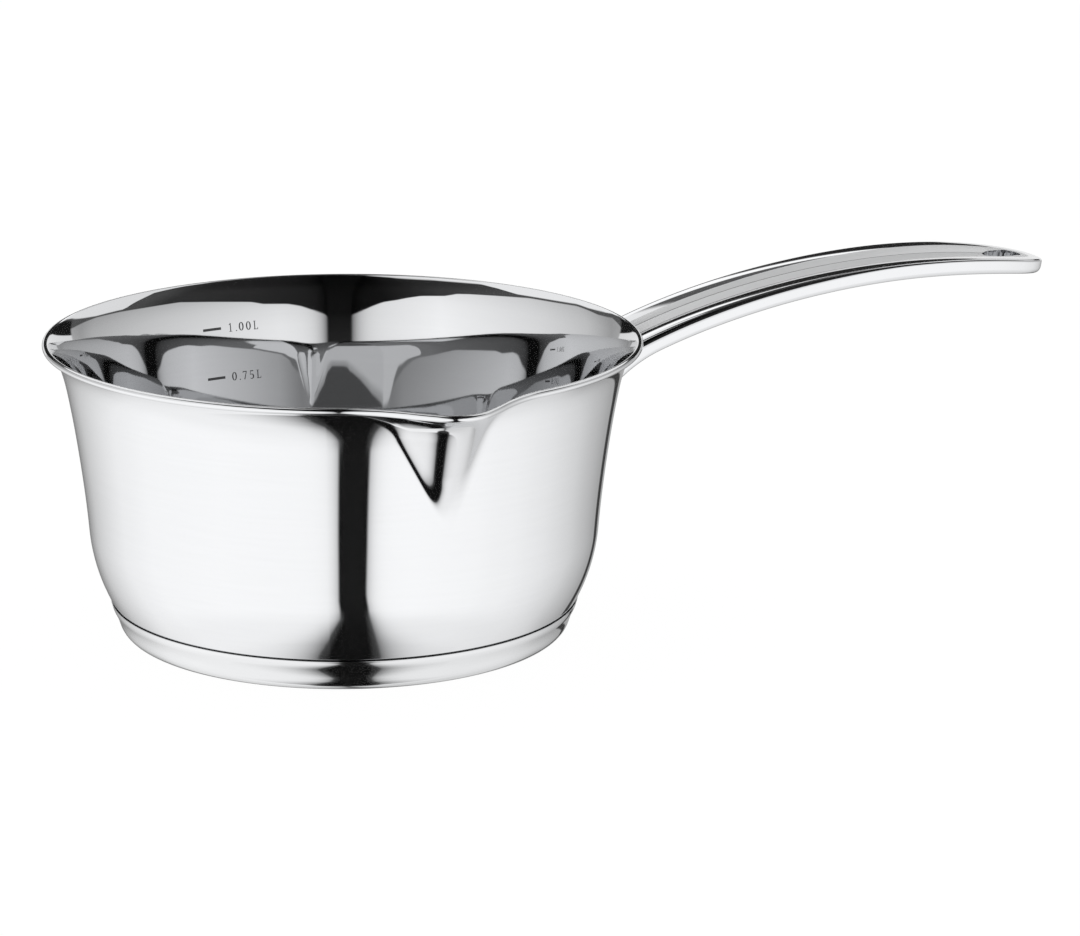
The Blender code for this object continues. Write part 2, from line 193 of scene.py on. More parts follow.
def new_material(name: str) -> tuple:
    """Starts a material.

    Args:
        name: The material's name.

    Returns:
        The material, its node tree, its shader and the object coordinates.
    """
    material = bpy.data.materials.new(name)
    material.use_nodes = True
    tree = material.node_tree
    place = tree.nodes.new("ShaderNodeTexCoord").outputs["Object"]
    return material, tree, tree.nodes["Principled BSDF"], place


def noise(
    tree: bpy.types.NodeTree, place: bpy.types.NodeSocket, scale: float, detail: float
) -> bpy.types.NodeSocket:
    """Adds a noise texture.

    Args:
        tree: The node tree.
        place: The coordinates.
        scale: The noise's scale.
        detail: Its detail.

    Returns:
        The noise's value.
    """
    node = tree.nodes.new("ShaderNodeTexNoise")
    node.inputs["Scale"].default_value = scale
    node.inputs["Detail"].default_value = detail
    tree.links.new(place, node.inputs["Vector"])
    return node.outputs["Fac"]


def tint(
    tree: bpy.types.NodeTree, share: bpy.types.NodeSocket, first: Colour, second: Colour
) -> bpy.types.NodeSocket:
    """Mixes two colours.

    Args:
        tree: The node tree.
        share: The second colour's share.
        first: One colour.
        second: The other colour.

    Returns:
        The mixed colour.
    """
    node = tree.nodes.new("ShaderNodeMix")
    node.data_type = "RGBA"
    node.inputs["A"].default_value = (*first, 1.0)
    node.inputs["B"].default_value = (*second, 1.0)
    tree.links.new(share, node.inputs["Factor"])
    return node.outputs["Result"]


@dataclass(frozen=True)
class Metal:
    """A metal finish with a faint haze, fine grain and clouding.

    Attributes:
        name: The material's name.
        colour: Reflected colour.
        roughness: Base roughness.
        cloud: How much the roughness drifts across the surface.
        haze: Weight of the haze over the mirror.
        grain: Stretch of the fine grain along X, Y and Z, in lines per metre.
        grain_depth: Bump strength of the grain.
        metallic: Share of the metal's own reflection; the rest scatters light evenly.
        haze_roughness: Roughness of the haze.
        haze_index: Its refractive index.
        cloud_scale: Scale of the drift.
        bump: Height of the grain.
        darker: Share of the colour in the grain.
    """

    name: str
    colour: Colour
    roughness: float
    cloud: float
    haze: float
    grain: tuple[float, float, float]
    grain_depth: float
    metallic: float = 1.0
    haze_roughness: float = 0.55
    haze_index: float = 1.45
    cloud_scale: float = 45.0
    bump: float = 0.00001
    darker: float = 0.97

    def material(self) -> bpy.types.Material:
        """Builds the material.

        Returns:
            The new material.
        """
        material, tree, shader, place = new_material(self.name)
        shader.inputs["Metallic"].default_value = self.metallic
        shader.inputs["Coat Weight"].default_value = self.haze
        shader.inputs["Coat Roughness"].default_value = self.haze_roughness
        shader.inputs["Coat IOR"].default_value = self.haze_index
        drift = Wire(tree, noise(tree, place, self.cloud_scale, 3.0))
        (drift * self.cloud + (self.roughness - self.cloud / 2)).feed(shader.inputs["Roughness"])
        stretch = tree.nodes.new("ShaderNodeMapping")
        stretch.inputs["Scale"].default_value = self.grain
        tree.links.new(place, stretch.inputs["Vector"])
        lines = noise(tree, stretch.outputs["Vector"], 1.0, 2.0)
        dark = tuple(c * self.darker for c in self.colour)
        tree.links.new(tint(tree, lines, self.colour, dark), shader.inputs["Base Color"])
        bump = tree.nodes.new("ShaderNodeBump")
        bump.inputs["Strength"].default_value = self.grain_depth
        bump.inputs["Distance"].default_value = self.bump
        tree.links.new(lines, bump.inputs["Height"])
        tree.links.new(bump.outputs["Normal"], shader.inputs["Normal"])
        return material


@dataclass(frozen=True)
class Etching:
    """The grey of marks that are etched into the steel, slightly mottled.

    Attributes:
        name: The material's name.
        dark: The darker tone.
        pale: The paler tone.
        roughness: The marks' roughness.
        mottle_scale: Scale of the mottling.
    """

    name: str
    dark: Colour
    pale: Colour
    roughness: float = 0.6
    mottle_scale: float = 2500.0

    def material(self) -> bpy.types.Material:
        """Builds the material.

        Returns:
            The new material.
        """
        material, tree, shader, place = new_material(self.name)
        shader.inputs["Roughness"].default_value = self.roughness
        mottle = noise(tree, place, self.mottle_scale, 2.0)
        tree.links.new(tint(tree, mottle, self.dark, self.pale), shader.inputs["Base Color"])
        return material


class Finish(Enum):
    """The finish of each part of the pan, and the painted shade in the handle's grooves."""

    MIRROR_STEEL = Metal(
        "mirror_steel", (0.615, 0.620, 0.630), 0.025, 0.01, 0.1, (40, 40, 900), 0.01
    )
    CAST_MIRROR = Metal(
        "cast_mirror", (0.600, 0.605, 0.615), 0.03, 0.02, 0.1, (60, 900, 60), 0.01
    )
    CAST_SATIN = Metal(
        "cast_satin", (0.58, 0.585, 0.59), 0.34, 0.04, 0.0, (60, 2200, 60), 0.25, 0.15
    )
    # Painted shade: a dark grey copy of the satin, put in the handle's grooves where shade falls.
    CAST_GROOVE = Metal(
        "cast_groove_painted_shade", (0.16, 0.16, 0.165), 0.45, 0.04, 0.0, (60, 2200, 60), 0.25, 0.15
    )
    BASE_STEEL = Metal(
        "base_steel", (0.600, 0.605, 0.612), 0.04, 0.02, 0.15, (30, 30, 1600), 0.02
    )
    ALUMINIUM = Metal("aluminium", (0.74, 0.75, 0.76), 0.35, 0.08, 0.0, (300, 300, 300), 0.2)
    ETCHED_GREY = Etching("etched_grey", (0.045, 0.047, 0.05), (0.10, 0.10, 0.105))


# Modelling by hand


def clear_selection() -> None:
    """Deselects everything, so that an operator acts on the new piece alone."""
    bpy.ops.object.select_all(action="DESELECT")


def select_alone(piece: bpy.types.Object) -> None:
    """Makes a piece the only one that an operator acts on."""
    clear_selection()
    piece.select_set(True)
    bpy.context.view_layer.objects.active = piece


def vertex_places(mesh: bpy.types.Mesh) -> np.ndarray:
    """Reads the places of a mesh's vertices, a row for each."""
    places = np.empty(len(mesh.vertices) * 3)
    mesh.vertices.foreach_get("co", places)
    return places.reshape(-1, 3)


def move_vertices(mesh: bpy.types.Mesh, places: np.ndarray) -> None:
    """Puts a mesh's vertices at new places."""
    mesh.vertices.foreach_set("co", places.ravel())
    mesh.update()


def turned(name: str, profile: list[Point], sectors: list[tuple[float, int]]) -> bpy.types.Object:
    """Draws a profile point by point in the half plane x > 0 and spins it about the Z axis.

    Args:
        name: The piece's name.
        profile: Points as (radius, height), both ends on the axis.
        sectors: Pairs of angle and steps, which together make a whole turn.

    Returns:
        The turned piece, closed at its poles.
    """
    clear_selection()
    bpy.ops.mesh.primitive_plane_add(size=SEED_SIZE)
    piece = bpy.context.object
    piece.name = name
    bpy.ops.object.mode_set(mode="EDIT")
    bpy.ops.mesh.merge(type="CENTER")
    bpy.ops.transform.translate(value=(profile[0][0], 0.0, profile[0][1]))
    for (r0, z0), (r1, z1) in zip(profile, profile[1:]):
        bpy.ops.mesh.extrude_vertices_move(
            TRANSFORM_OT_translate={"value": (r1 - r0, 0.0, z1 - z0)}
        )
    bpy.ops.mesh.select_all(action="SELECT")
    for angle, steps in sectors:
        bpy.ops.mesh.spin(steps=steps, angle=angle, center=(0, 0, 0), axis=(0, 0, 1))
    bpy.ops.mesh.select_all(action="SELECT")
    bpy.ops.mesh.remove_doubles(threshold=MERGE)
    bpy.ops.mesh.normals_make_consistent(inside=False)
    bpy.ops.object.mode_set(mode="OBJECT")
    return piece


def arc(centre: Point, radius: float, start: float, end: float, steps: int) -> list[Point]:
    """Points along an arc of a profile.

    Args:
        centre: Centre as (radius, height).
        radius: Radius of the arc.
        start: First angle, from the direction away from the axis.
        end: Last angle.
        steps: Number of steps.

    Returns:
        The points, both ends included.
    """
    angles = [start + (end - start) * i / steps for i in range(steps + 1)]
    return [(centre[0] + radius * math.cos(a), centre[1] + radius * math.sin(a)) for a in angles]


def smooth(piece: bpy.types.Object, angle: float) -> None:
    """Shades a piece smooth.

    Args:
        piece: The piece.
        angle: Edges sharper than this many degrees stay sharp.
    """
    select_alone(piece)
    bpy.ops.object.shade_smooth_by_angle(angle=math.radians(angle))


def cut(piece: bpy.types.Object, cutter: bpy.types.Object) -> None:
    """Takes a cutter's volume from a piece and removes the cutter.

    Args:
        piece: The piece.
        cutter: The cutter.
    """
    select_alone(piece)
    bpy.ops.object.modifier_add(type="BOOLEAN")
    boolean = piece.modifiers[-1]
    boolean.operation = "DIFFERENCE"
    boolean.solver = "EXACT"
    boolean.object = cutter
    bpy.ops.object.modifier_apply(modifier=boolean.name)
    bpy.data.objects.remove(cutter, do_unlink=True)


def finish_piece(piece: bpy.types.Object, slot: str, *nodes: str) -> None:
    """Hangs a finished piece on the frame.

    Args:
        piece: The piece.
        slot: The record's material slot; not used.
        nodes: The CAD nodes that it stands for.
    """
    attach(piece, "root")
    if nodes:
        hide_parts(*nodes)
    log.info("%s: %d faces", piece.name, len(piece.data.polygons))


# Pan body

# The skin's lean in degrees, at heights up the wall
WALL_LEAN_HEIGHTS = (
    *(0.0299, 0.0380, 0.0440, 0.0500, 0.0600, 0.0644, 0.0676, 0.0696, 0.0706, 0.0716),
    *(0.0736, 0.0746, 0.0756, 0.0766, 0.0776, 0.0786, 0.0796, 0.0806, 0.0816, 0.0826),
)
WALL_LEANS = (
    *(4.5, 5.95, 7.0, 7.6, 9.0, 9.95, 10.55, 11.05, 11.55, 12.55),
    *(14.4, 15.7, 17.4, 19.8, 23.0, 27.0, 31.6, 36.6, 41.8, 45.0),
)


@dataclass
class PanShell:
    """The drawn pan: flat floor, rounded lower wall, gently arched wall, flare, bead and spout."""

    rim_radius: float = 0.0830
    rim_height: float = 0.0833
    bead: float = 0.00095
    wall: float = 0.0008
    flare_drop: float = 0.0098
    foot_lean: float = math.radians(4.5)
    lean_heights: tuple[float, ...] = WALL_LEAN_HEIGHTS
    leans: tuple[float, ...] = WALL_LEANS
    lean_samples: int = 600
    curve_height: float = 0.0299
    curve_radius: float = 0.0505
    floor_corner: float = 0.0130
    shoulder_corner: float = 0.0067
    seam_height: float = 0.0099
    underside: float = 0.0062
    shoulder_inset: float = 0.0009
    spout_reach: float = 0.0134
    spout_aside: float = 0.0008
    spout_slant: float = 0.085
    throat_half_width: float = 0.0118
    lip_spread: float = 0.0047
    lip_power: float = 3.0
    spout_foot: float = 0.0455
    foot_margin: float = 0.002
    ridge_round: float = 0.0066
    ridge_foot: float = 0.0026
    ridge_reach: float = 0.0160
    fold_round: float = 0.0020
    lip_fold_round: float = 0.0080
    spout_sector: float = math.radians(46)
    spout_steps: int = 128
    round_steps: int = 176
    lower_steps: int = 20
    wall_steps: int = 10
    spout_wall_steps: int = 36
    flare_steps: int = 26
    bead_steps: int = 22
    shoulder_steps: int = 10
    inner_steps: int = 18
    corner_steps: int = 16
    floor_rings: int = 6

    @property
    def wall_top(self) -> float:
        """Height where the flare starts."""
        return self.rim_height - self.flare_drop

    @property
    def bead_centre(self) -> Point:
        """Middle of the rolled bead."""
        return self.rim_radius - self.bead, self.rim_height - self.bead

    @property
    def lip_lean(self) -> float:
        """Lean of the skin where it meets the bead."""
        return math.radians(self.leans[-1])

    @property
    def skin_end(self) -> Point:
        """Where the outer skin meets the bead."""
        normal = self.skin_normal(self.lip_lean)
        inset = self.bead - self.wall
        return self.bead_centre[0] - inset * normal[0], self.bead_centre[1] - inset * normal[1]

    @property
    def flare_end(self) -> float:
        """Height where the flare's middle line ends in the bead."""
        return self.skin_end[1] + self.wall / 2 * math.sin(self.lip_lean)

    @property
    def curve_centre(self) -> Point:
        """Centre of the arc that turns the wall in towards the base."""
        radius, _ = self.wall_at(self.curve_height)
        inward = self.curve_radius * math.cos(self.foot_lean)
        return radius - inward, self.curve_height + self.curve_radius * math.sin(self.foot_lean)

    @property
    def seam_lean(self) -> float:
        """Lean of the skin at the seam, inwards and so below zero."""
        return -math.asin((self.seam_height - self.curve_centre[1]) / self.curve_radius)

    @property
    def seam_radius(self) -> float:
        """Outer radius of the body at the seam."""
        centre = self.curve_centre
        return centre[0] + math.sqrt(self.curve_radius**2 - (self.seam_height - centre[1]) ** 2)

    def skin_normal(self, lean: float) -> Point:
        """Outward normal of the skin where it leans out by an angle."""
        return math.cos(lean), -math.sin(lean)

    def wall_at(self, height: float) -> Point:
        """Follows the skin down from the bead, by its lean.

        Args:
            height: Height on the skin.

        Returns:
            The radius and the lean there.
        """
        radius, top = self.skin_end
        down = np.linspace(top, height, self.lean_samples)
        leans = np.radians(np.interp(down, self.lean_heights, self.leans))
        slopes = np.tan(leans)
        gain = float(np.sum((slopes[1:] + slopes[:-1]) / 2 * np.diff(down)))
        return radius + gain, float(leans[-1])

    def skin(self) -> list[Station]:
        """Stations up the skin.

        Returns:
            Tuples of radius, height, lean and share of the flare, lowest first.
        """
        steps, seam = self.lower_steps, self.seam_lean
        points = arc(self.curve_centre, self.curve_radius, -seam, -self.foot_lean, steps)
        leans = [seam + (self.foot_lean - seam) * i / steps for i in range(steps + 1)]
        lower = [(*point, lean, 0.0) for point, lean in zip(points, leans)]
        start = self.spout_foot - self.foot_margin
        heights = list(np.linspace(self.curve_height, start, self.wall_steps + 1)[1:])
        heights += list(np.linspace(start, self.wall_top, self.spout_wall_steps + 1)[1:])
        upper = [(float(height), 0.0) for height in heights]
        rise = self.skin_end[1] - self.wall_top
        shares = [i / self.flare_steps for i in range(1, self.flare_steps)]
        upper += [(self.wall_top + rise * share, share) for share in shares]
        for height, share in upper:
            radius, lean = self.wall_at(height)
            lower.append((radius, height, lean, share))
        return lower

    def bead_ring(self) -> list[Point]:
        """Goes round the rolled bead.

        Returns:
            Its points, from the outer skin over the top to the inner skin.
        """
        along = (math.sin(self.lip_lean), math.cos(self.lip_lean))
        normal = self.skin_normal(self.lip_lean)
        first = -math.asin((self.bead - self.wall) / self.bead)
        points = []
        for i in range(self.bead_steps + 1):
            turn = first + (3 * math.pi / 2 - first) * i / self.bead_steps
            out, ahead = self.bead * math.sin(turn), -self.bead * math.cos(turn)
            points.append(
                tuple(c + out * n + ahead * a for c, n, a in zip(self.bead_centre, normal, along))
            )
        return points

    def floor_line(self) -> list[Point]:
        """Goes from the inner wall round the corner to the middle of the floor.

        Returns:
            The points.
        """
        centre = self.curve_centre
        inner_radius = self.curve_radius - self.wall
        rise = self.underside + self.wall + self.floor_corner - centre[1]
        reach = math.sqrt((inner_radius - self.floor_corner) ** 2 - rise**2)
        corner = (centre[0] + reach, centre[1] + rise)
        start = math.atan2(rise, reach)
        line = arc(centre, inner_radius, -self.foot_lean, start, self.inner_steps)
        line += arc(corner, self.floor_corner, start, -math.pi / 2, self.corner_steps)[1:]
        shares = [k / self.floor_rings for k in range(self.floor_rings - 1, -1, -1)]
        return line + [(corner[0] * share, line[-1][1]) for share in shares]

    def profile(self) -> list[Station]:
        """Draws the pan's section.

        Returns:
            Tuples of radius, height, station height and share of the flare.
        """
        skin = self.skin()
        corner = self.shoulder_corner
        shoulder = self.seam_radius - self.shoulder_inset
        turn = (shoulder - corner * math.cos(self.seam_lean), self.underside + corner)
        low = [(0.0, self.underside), (turn[0] / 2, self.underside)]
        low += arc(turn, corner, -math.pi / 2, -self.seam_lean, self.shoulder_steps)
        outer = [(r, z, 0.0, 0.0) for r, z in low]
        clear = self.bead_centre[1] - self.bead
        outer += [(r, z, z, share) for r, z, _, share in skin if z < clear]
        bead = [(r, z, self.flare_end, 1.0) for r, z in self.bead_ring()]
        inner = []
        for r, z, lean, share in reversed(skin):
            if z > self.curve_height + TINY:
                normal = self.skin_normal(lean)
                inner.append((r - normal[0] * self.wall, z - normal[1] * self.wall, z, share))
        return outer + bead + inner + [(r, z, 0.0, 0.0) for r, z in self.floor_line()]

    def half_width(self, height: np.ndarray, share: np.ndarray) -> np.ndarray:
        """Distance from the ridge to the folds: a straight V up the wall, wider up the flare.

        Args:
            height: Station height.
            share: Share of the flare.

        Returns:
            The distance.
        """
        low = self.ridge_foot / 2 - self.fold_round
        rise = (height - self.spout_foot) / (self.wall_top - self.spout_foot)
        straight = low + (self.throat_half_width - low) * rise
        return straight + self.lip_spread * share**self.lip_power

    def section(self, aside: np.ndarray, height: np.ndarray, share: np.ndarray) -> np.ndarray:
        """Depth of the spout's section, ridge and folds rounded.

        Args:
            aside: Distance from the ridge.
            height: Station height.
            share: Share of the flare.

        Returns:
            The depth, where a flank slopes one to one.
        """
        risen = np.clip((height - self.spout_foot) / self.ridge_reach, 0, 1)
        ridge = self.ridge_foot + (self.ridge_round - self.ridge_foot) * risen
        aside = np.where(aside < ridge, (ridge + aside**2 / ridge) / 2, aside)
        inside = self.half_width(height, share) - aside
        fold = self.fold_round + (self.lip_fold_round - self.fold_round) * share**2
        near = (np.clip(inside, -fold, fold) + fold) ** 2 / (4 * fold)
        return np.where(inside < fold, near, inside)

    def press_spout(self, piece: bpy.types.Object, profile: list[Station]) -> None:
        """Presses the spout out of the turned pan.

        Args:
            piece: The turned pan.
            profile: Its section, with each point's station height and share of the flare.
        """
        places = vertex_places(piece.data)
        radius = np.hypot(places[:, 0], places[:, 1])
        rows = np.array(profile)
        nearest = np.empty(len(places), int)
        for i, (r, z) in enumerate(zip(radius, places[:, 2])):
            nearest[i] = np.argmin((rows[:, 0] - r) ** 2 + (rows[:, 1] - z) ** 2)
        height, share = rows[nearest, 2], rows[nearest, 3]
        middle = self.spout_aside * (1 - share**2)
        middle = middle + self.spout_slant * np.maximum(self.wall_top - height, 0)
        aside = np.abs(places[:, 0] - middle)
        one = np.ones(1)
        full = self.section(one * 0, one * self.flare_end, one)[0]
        push = self.spout_reach * self.section(aside, height, share) / full
        push[(height <= self.spout_foot) | (places[:, 1] > 0)] = 0
        places[:, :2] *= (1 + push / np.maximum(radius, TINY))[:, None]
        move_vertices(piece.data, places)

    def build(self) -> bpy.types.Object:
        """Turns and presses the pan.

        Returns:
            The finished piece.
        """
        profile = self.profile()
        sectors = [
            (self.spout_sector, self.spout_steps),
            (2 * math.pi - self.spout_sector, self.round_steps),
        ]
        piece = turned("pan_shell", [(r, z) for r, z, _, _ in profile], sectors)
        start = self.spout_sector / 2 - math.pi / 2
        piece.data.transform(Matrix.Rotation(start, 4, "Z"))
        self.press_spout(piece, profile)
        smooth(piece, SHARP)
        piece.data.materials.append(Finish.MIRROR_STEEL.value.material())
        finish_piece(piece, "polished_steel", "pan_body")
        return piece


# Capsule base

# The side's lean in degrees, at heights up the cup
CUP_LEAN_HEIGHTS = (
    *(0.0, 0.0002, 0.0006, 0.0013, 0.0022, 0.0032),
    *(0.0043, 0.0056, 0.0071, 0.0087, 0.0096),
)
CUP_LEANS = (84, 72, 60, 46, 32, 19, 17, 22, 29, 13.5, 12)


@dataclass
class BaseCup:
    """The thin steel cup round the base, its side drawn in a slight S under a rounded lip."""

    top_radius: float = 0.06549
    top_height: float = 0.0096
    wall: float = 0.0006
    lip: float = 0.0002
    lean_heights: tuple[float, ...] = CUP_LEAN_HEIGHTS
    leans: tuple[float, ...] = CUP_LEANS
    crowding: float = 1.25
    side_steps: int = 64
    lip_steps: int = 6
    round_steps: int = 288

    def side(self) -> list[tuple[float, float, float]]:
        """Goes down the cup's outer side, with stations crowded towards its foot.

        Returns:
            Stations as (radius, height, lean).
        """
        share = np.linspace(0.0, 1.0, self.side_steps + 1)
        heights = self.top_height * (1 - share) ** self.crowding
        leans = np.radians(np.interp(heights, self.lean_heights, self.leans))
        slopes = np.tan(leans)
        steps = (slopes[1:] + slopes[:-1]) / 2 * np.diff(heights)
        radii = self.top_radius + np.concatenate(([0.0], np.cumsum(steps)))
        return [(float(r), float(z), float(a)) for r, z, a in zip(radii, heights, leans)]

    def profile(self) -> list[Point]:
        """Draws the cup's section.

        Returns:
            Points from the middle of its inside over the lip to its underside.
        """
        side = self.side()
        under_lip = self.top_height - self.lip
        inner = []
        for r, z, lean in reversed(side):
            inner.append((r - self.wall * math.cos(lean), z + self.wall * math.sin(lean)))
        inner = [(r, max(z, self.wall)) for r, z in inner if z < under_lip]
        floor = [(0.0, self.wall), (inner[0][0] / 2, self.wall)]
        lip_centre = (side[0][0] - self.lip, under_lip)
        lip = arc(lip_centre, self.lip, math.pi / 2, 0.0, self.lip_steps)
        outer = [(r, z) for r, z, _ in side if z < under_lip]
        foot = outer[-1][0]
        outer[-1] = (foot, 0.0)
        return floor + inner[1:] + lip + outer + [(foot / 2, 0.0), (0.0, 0.0)]

    def build(self) -> bpy.types.Object:
        """Turns the cup.

        Returns:
            The finished piece.
        """
        piece = turned("base_cup", self.profile(), [(2 * math.pi, self.round_steps)])
        smooth(piece, SHARP)
        piece.data.materials.append(Finish.BASE_STEEL.value.material())
        finish_piece(piece, "base_steel", "base_cap")
        return piece


# Handle


class Run(Enum):
    """The runs of the handle's section, from the underside round to the channel."""

    UNDER = "under"
    LOW_EDGE = "low edge"
    HIGH_EDGE = "high edge"
    RAIL = "rail"
    SLOPE = "slope"
    GROOVE = "groove"
    FLOOR = "floor"


@dataclass
class CastHandle:
    """The cast bar: an arch with two polished rails, a satin channel and a hang slot."""

    pan: PanShell
    root_x: float = 0.0768
    length: float = 0.1400
    root_width: float = 0.0272
    width: float = 0.0296
    root_thickness: float = 0.0054
    tip_thickness: float = 0.0045
    root_drop: float = 0.0088
    tip_rise: float = 0.0070
    arch_root: Point = (0.0270, 0.0131)
    arch_tip: Point = (0.0541, 0.0109)
    arch_samples: int = 4001
    taper: float = 0.0417
    taper_power: float = 2.72
    low_edge: float = 0.0021
    edge_places: tuple[float, ...] = (0.080, 0.118, 0.140, 0.165, 0.184, 0.200, 0.217)
    edge_rounds: tuple[float, ...] = (0.0023, 0.0016, 0.00135, 0.0008, 0.0007, 0.0008, 0.0010)
    channel: float = 0.0012
    groove: float = 0.00007
    groove_width: float = 0.00045
    groove_narrowing: float = 0.004
    groove_run_out: float = 3.0
    rail_share: float = 0.74
    rail_power: float = 3.0
    satin_places: tuple[float, ...] = (0.080, 0.118, 0.165, 0.190, 0.217)
    satin_shares: tuple[float, ...] = (0.70, 0.67, 0.51, 0.45, 0.45)
    gusset: float = 0.0014
    gusset_length: float = 0.0120
    hole_length: float = 0.0116
    hole_width: float = 0.0084
    hole_from_tip: float = 0.0060
    fit: float = 0.00004
    overrun: float = 0.0100
    bar_steps: int = 110
    tip_steps: int = 56
    root_steps: int = 256
    slot_steps: int = 90

    @property
    def tip_x(self) -> float:
        """Where the handle ends."""
        return self.root_x + self.length

    def arch(self, x: np.ndarray) -> tuple[np.ndarray, np.ndarray]:
        """Height and slope of the crest line, which is straight before the root.

        Args:
            x: Places along the handle.

        Returns:
            Heights and slopes at those places.
        """
        root = np.array((self.root_x, self.pan.rim_height - self.root_drop))
        tip = np.array((self.tip_x, self.pan.rim_height + self.tip_rise))
        pulls = root + np.array(self.arch_root), tip + np.array((-1, 1)) * self.arch_tip
        t = np.linspace(0, 1, self.arch_samples)[:, None]
        line = root * (1 - t) ** 3 + pulls[0] * 3 * (1 - t) ** 2 * t
        line += pulls[1] * 3 * (1 - t) * t**2 + tip * t**3
        way = (pulls[0] - root) * (1 - t) ** 2 + (pulls[1] - pulls[0]) * 2 * (1 - t) * t
        way += (tip - pulls[1]) * t**2
        slopes = way[:, 1] / way[:, 0]
        height = np.interp(x, line[:, 0], line[:, 1])
        slope = np.interp(x, line[:, 0], slopes)
        return height + np.minimum(x - root[0], 0.0) * slopes[0], slope

    def outline(self) -> tuple[np.ndarray, np.ndarray]:
        """Draws the plan: a bar that widens slightly and ends in a rounded taper.

        Returns:
            Places along and aside, from the root along the +Y side to the tip and back.
        """
        start = self.root_x - self.overrun
        widen = (self.width - self.root_width) / self.length
        taper_start = self.tip_x - self.taper
        bar = np.linspace(start, taper_start, self.bar_steps, endpoint=False)
        bar_half = (self.root_width + widen * (bar - self.root_x)) / 2
        widest = (self.root_width + widen * (taper_start - self.root_x)) / 2
        turn = np.linspace(0, np.pi / 2, self.tip_steps + 1)
        ahead = taper_start + self.taper * np.sin(turn) ** (2 / self.taper_power)
        aside = widest * np.maximum(np.cos(turn), 0.0) ** (2 / self.taper_power)
        aside[-1] = 0.0
        x = np.concatenate((bar, ahead))
        y = np.concatenate((bar_half, aside))
        return np.concatenate((x, x[-2::-1])), np.concatenate((y, -y[-2::-1]))

    def levels(self) -> list[tuple[Run, float]]:
        """Lists the section's levels.

        Returns:
            Runs and places in them, from the middle of the underside to the channel's.
        """
        runs = (
            (Run.UNDER, (1.0, 0.8, 0.5, 0.2)),
            (Run.LOW_EDGE, np.linspace(0, 1, 9)),
            (Run.HIGH_EDGE, np.linspace(0, 1, 11)),
            (Run.RAIL, np.linspace(0, 1, 13)[1:]),
            (Run.SLOPE, np.linspace(0, 1, 7)[1:]),
            (Run.GROOVE, (0.5, 1.0)),
            (Run.FLOOR, (0.15, 0.4, 0.7, 1.0)),
        )
        return [(run, share) for run, shares in runs for share in shares]

    def thickness(self, x: np.ndarray) -> np.ndarray:
        """Thickness of the bar, which thins towards its tip and has a gusset at its root.

        Args:
            x: Places along the handle.

        Returns:
            The thickness at those places.
        """
        along = (x - self.root_x) / self.length
        plain = self.root_thickness + (self.tip_thickness - self.root_thickness) * along
        near = np.maximum(1 - (x - self.root_x) / self.gusset_length, 0.0)
        return plain + self.gusset * near**2

    def channel_depth(self, x: np.ndarray) -> np.ndarray:
        """Depth of the channel, which runs out beside the slot.

        Args:
            x: Places along the handle.

        Returns:
            The depth at those places.
        """
        left = (self.tip_x - self.hole_from_tip - x) / self.hole_length
        left = np.clip(left, 0.0, 1.0)
        return self.channel * left * left * (3 - 2 * left)

    def section(
        self, run: Run, share: float, x: np.ndarray, width: np.ndarray
    ) -> tuple[np.ndarray, np.ndarray]:
        """Inset from the plan's outline and depth under the crest, at one level.

        Args:
            run: Which run of the section the level belongs to.
            share: Place in that run.
            x: Places along the handle.
            width: Distances from the outline to the spine.

        Returns:
            The insets and depths.
        """
        low = np.minimum(self.low_edge, width / 2)
        high = np.minimum(np.interp(x, self.edge_places, self.edge_rounds), width / 2)
        thickness, channel = self.thickness(x), self.channel_depth(x)
        turn = math.pi / 2 * share
        rail_end = self.rail_share * width
        groove = self.groove_width * np.minimum(width / self.groove_narrowing, 1.0)
        if run is Run.UNDER:
            return low + (width - low) * share, thickness
        if run is Run.LOW_EDGE:
            return low * (1 - math.sin(turn)), thickness - low * (1 - math.cos(turn))
        if run is Run.HIGH_EDGE:
            return high * (1 - math.cos(turn)), high * (1 - math.sin(turn))
        if run is Run.GROOVE:
            cut = self.groove * np.clip(channel / self.channel * self.groove_run_out, 0, 1)
            return rail_end + groove * share, channel + cut * (1 - abs(2 * share - 1))
        if run is Run.FLOOR:
            inset = rail_end + groove
            return inset + (width - inset) * share, channel
        satin = np.interp(x, self.satin_places, self.satin_shares)
        place = satin * share if run is Run.RAIL else satin + (1 - satin) * share
        return high + (rail_end - high) * place, channel * place**self.rail_power

    def wrap(self, mesh: bpy.types.Mesh, row: np.ndarray) -> None:
        """Lays a flat grid round the section and along the arch.

        Args:
            mesh: The grid, one unit wide, with the outline across it and the levels up it.
            row: Which level each vertex is on.
        """
        x, y = self.outline()
        places = vertex_places(mesh)
        column = np.rint((places[:, 0] + 0.5) * (len(x) - 1)).astype(int)
        spine = np.minimum(x, self.tip_x - self.hole_from_tip - self.hole_width / 2)
        width = np.hypot(x - spine, y)
        for level, (run, share) in enumerate(self.levels()):
            inset, depth = self.section(run, share, x, width)
            inner_x = x + (spine - x) * inset / width
            inner_y = y * (1 - inset / width)
            height, slope = self.arch(inner_x)
            size = np.sqrt(1 + slope**2)
            ring = np.stack(
                (inner_x + depth * slope / size, inner_y, height - depth / size), axis=1
            )
            here = row == level
            places[here] = ring[column[here]]
        move_vertices(mesh, places)

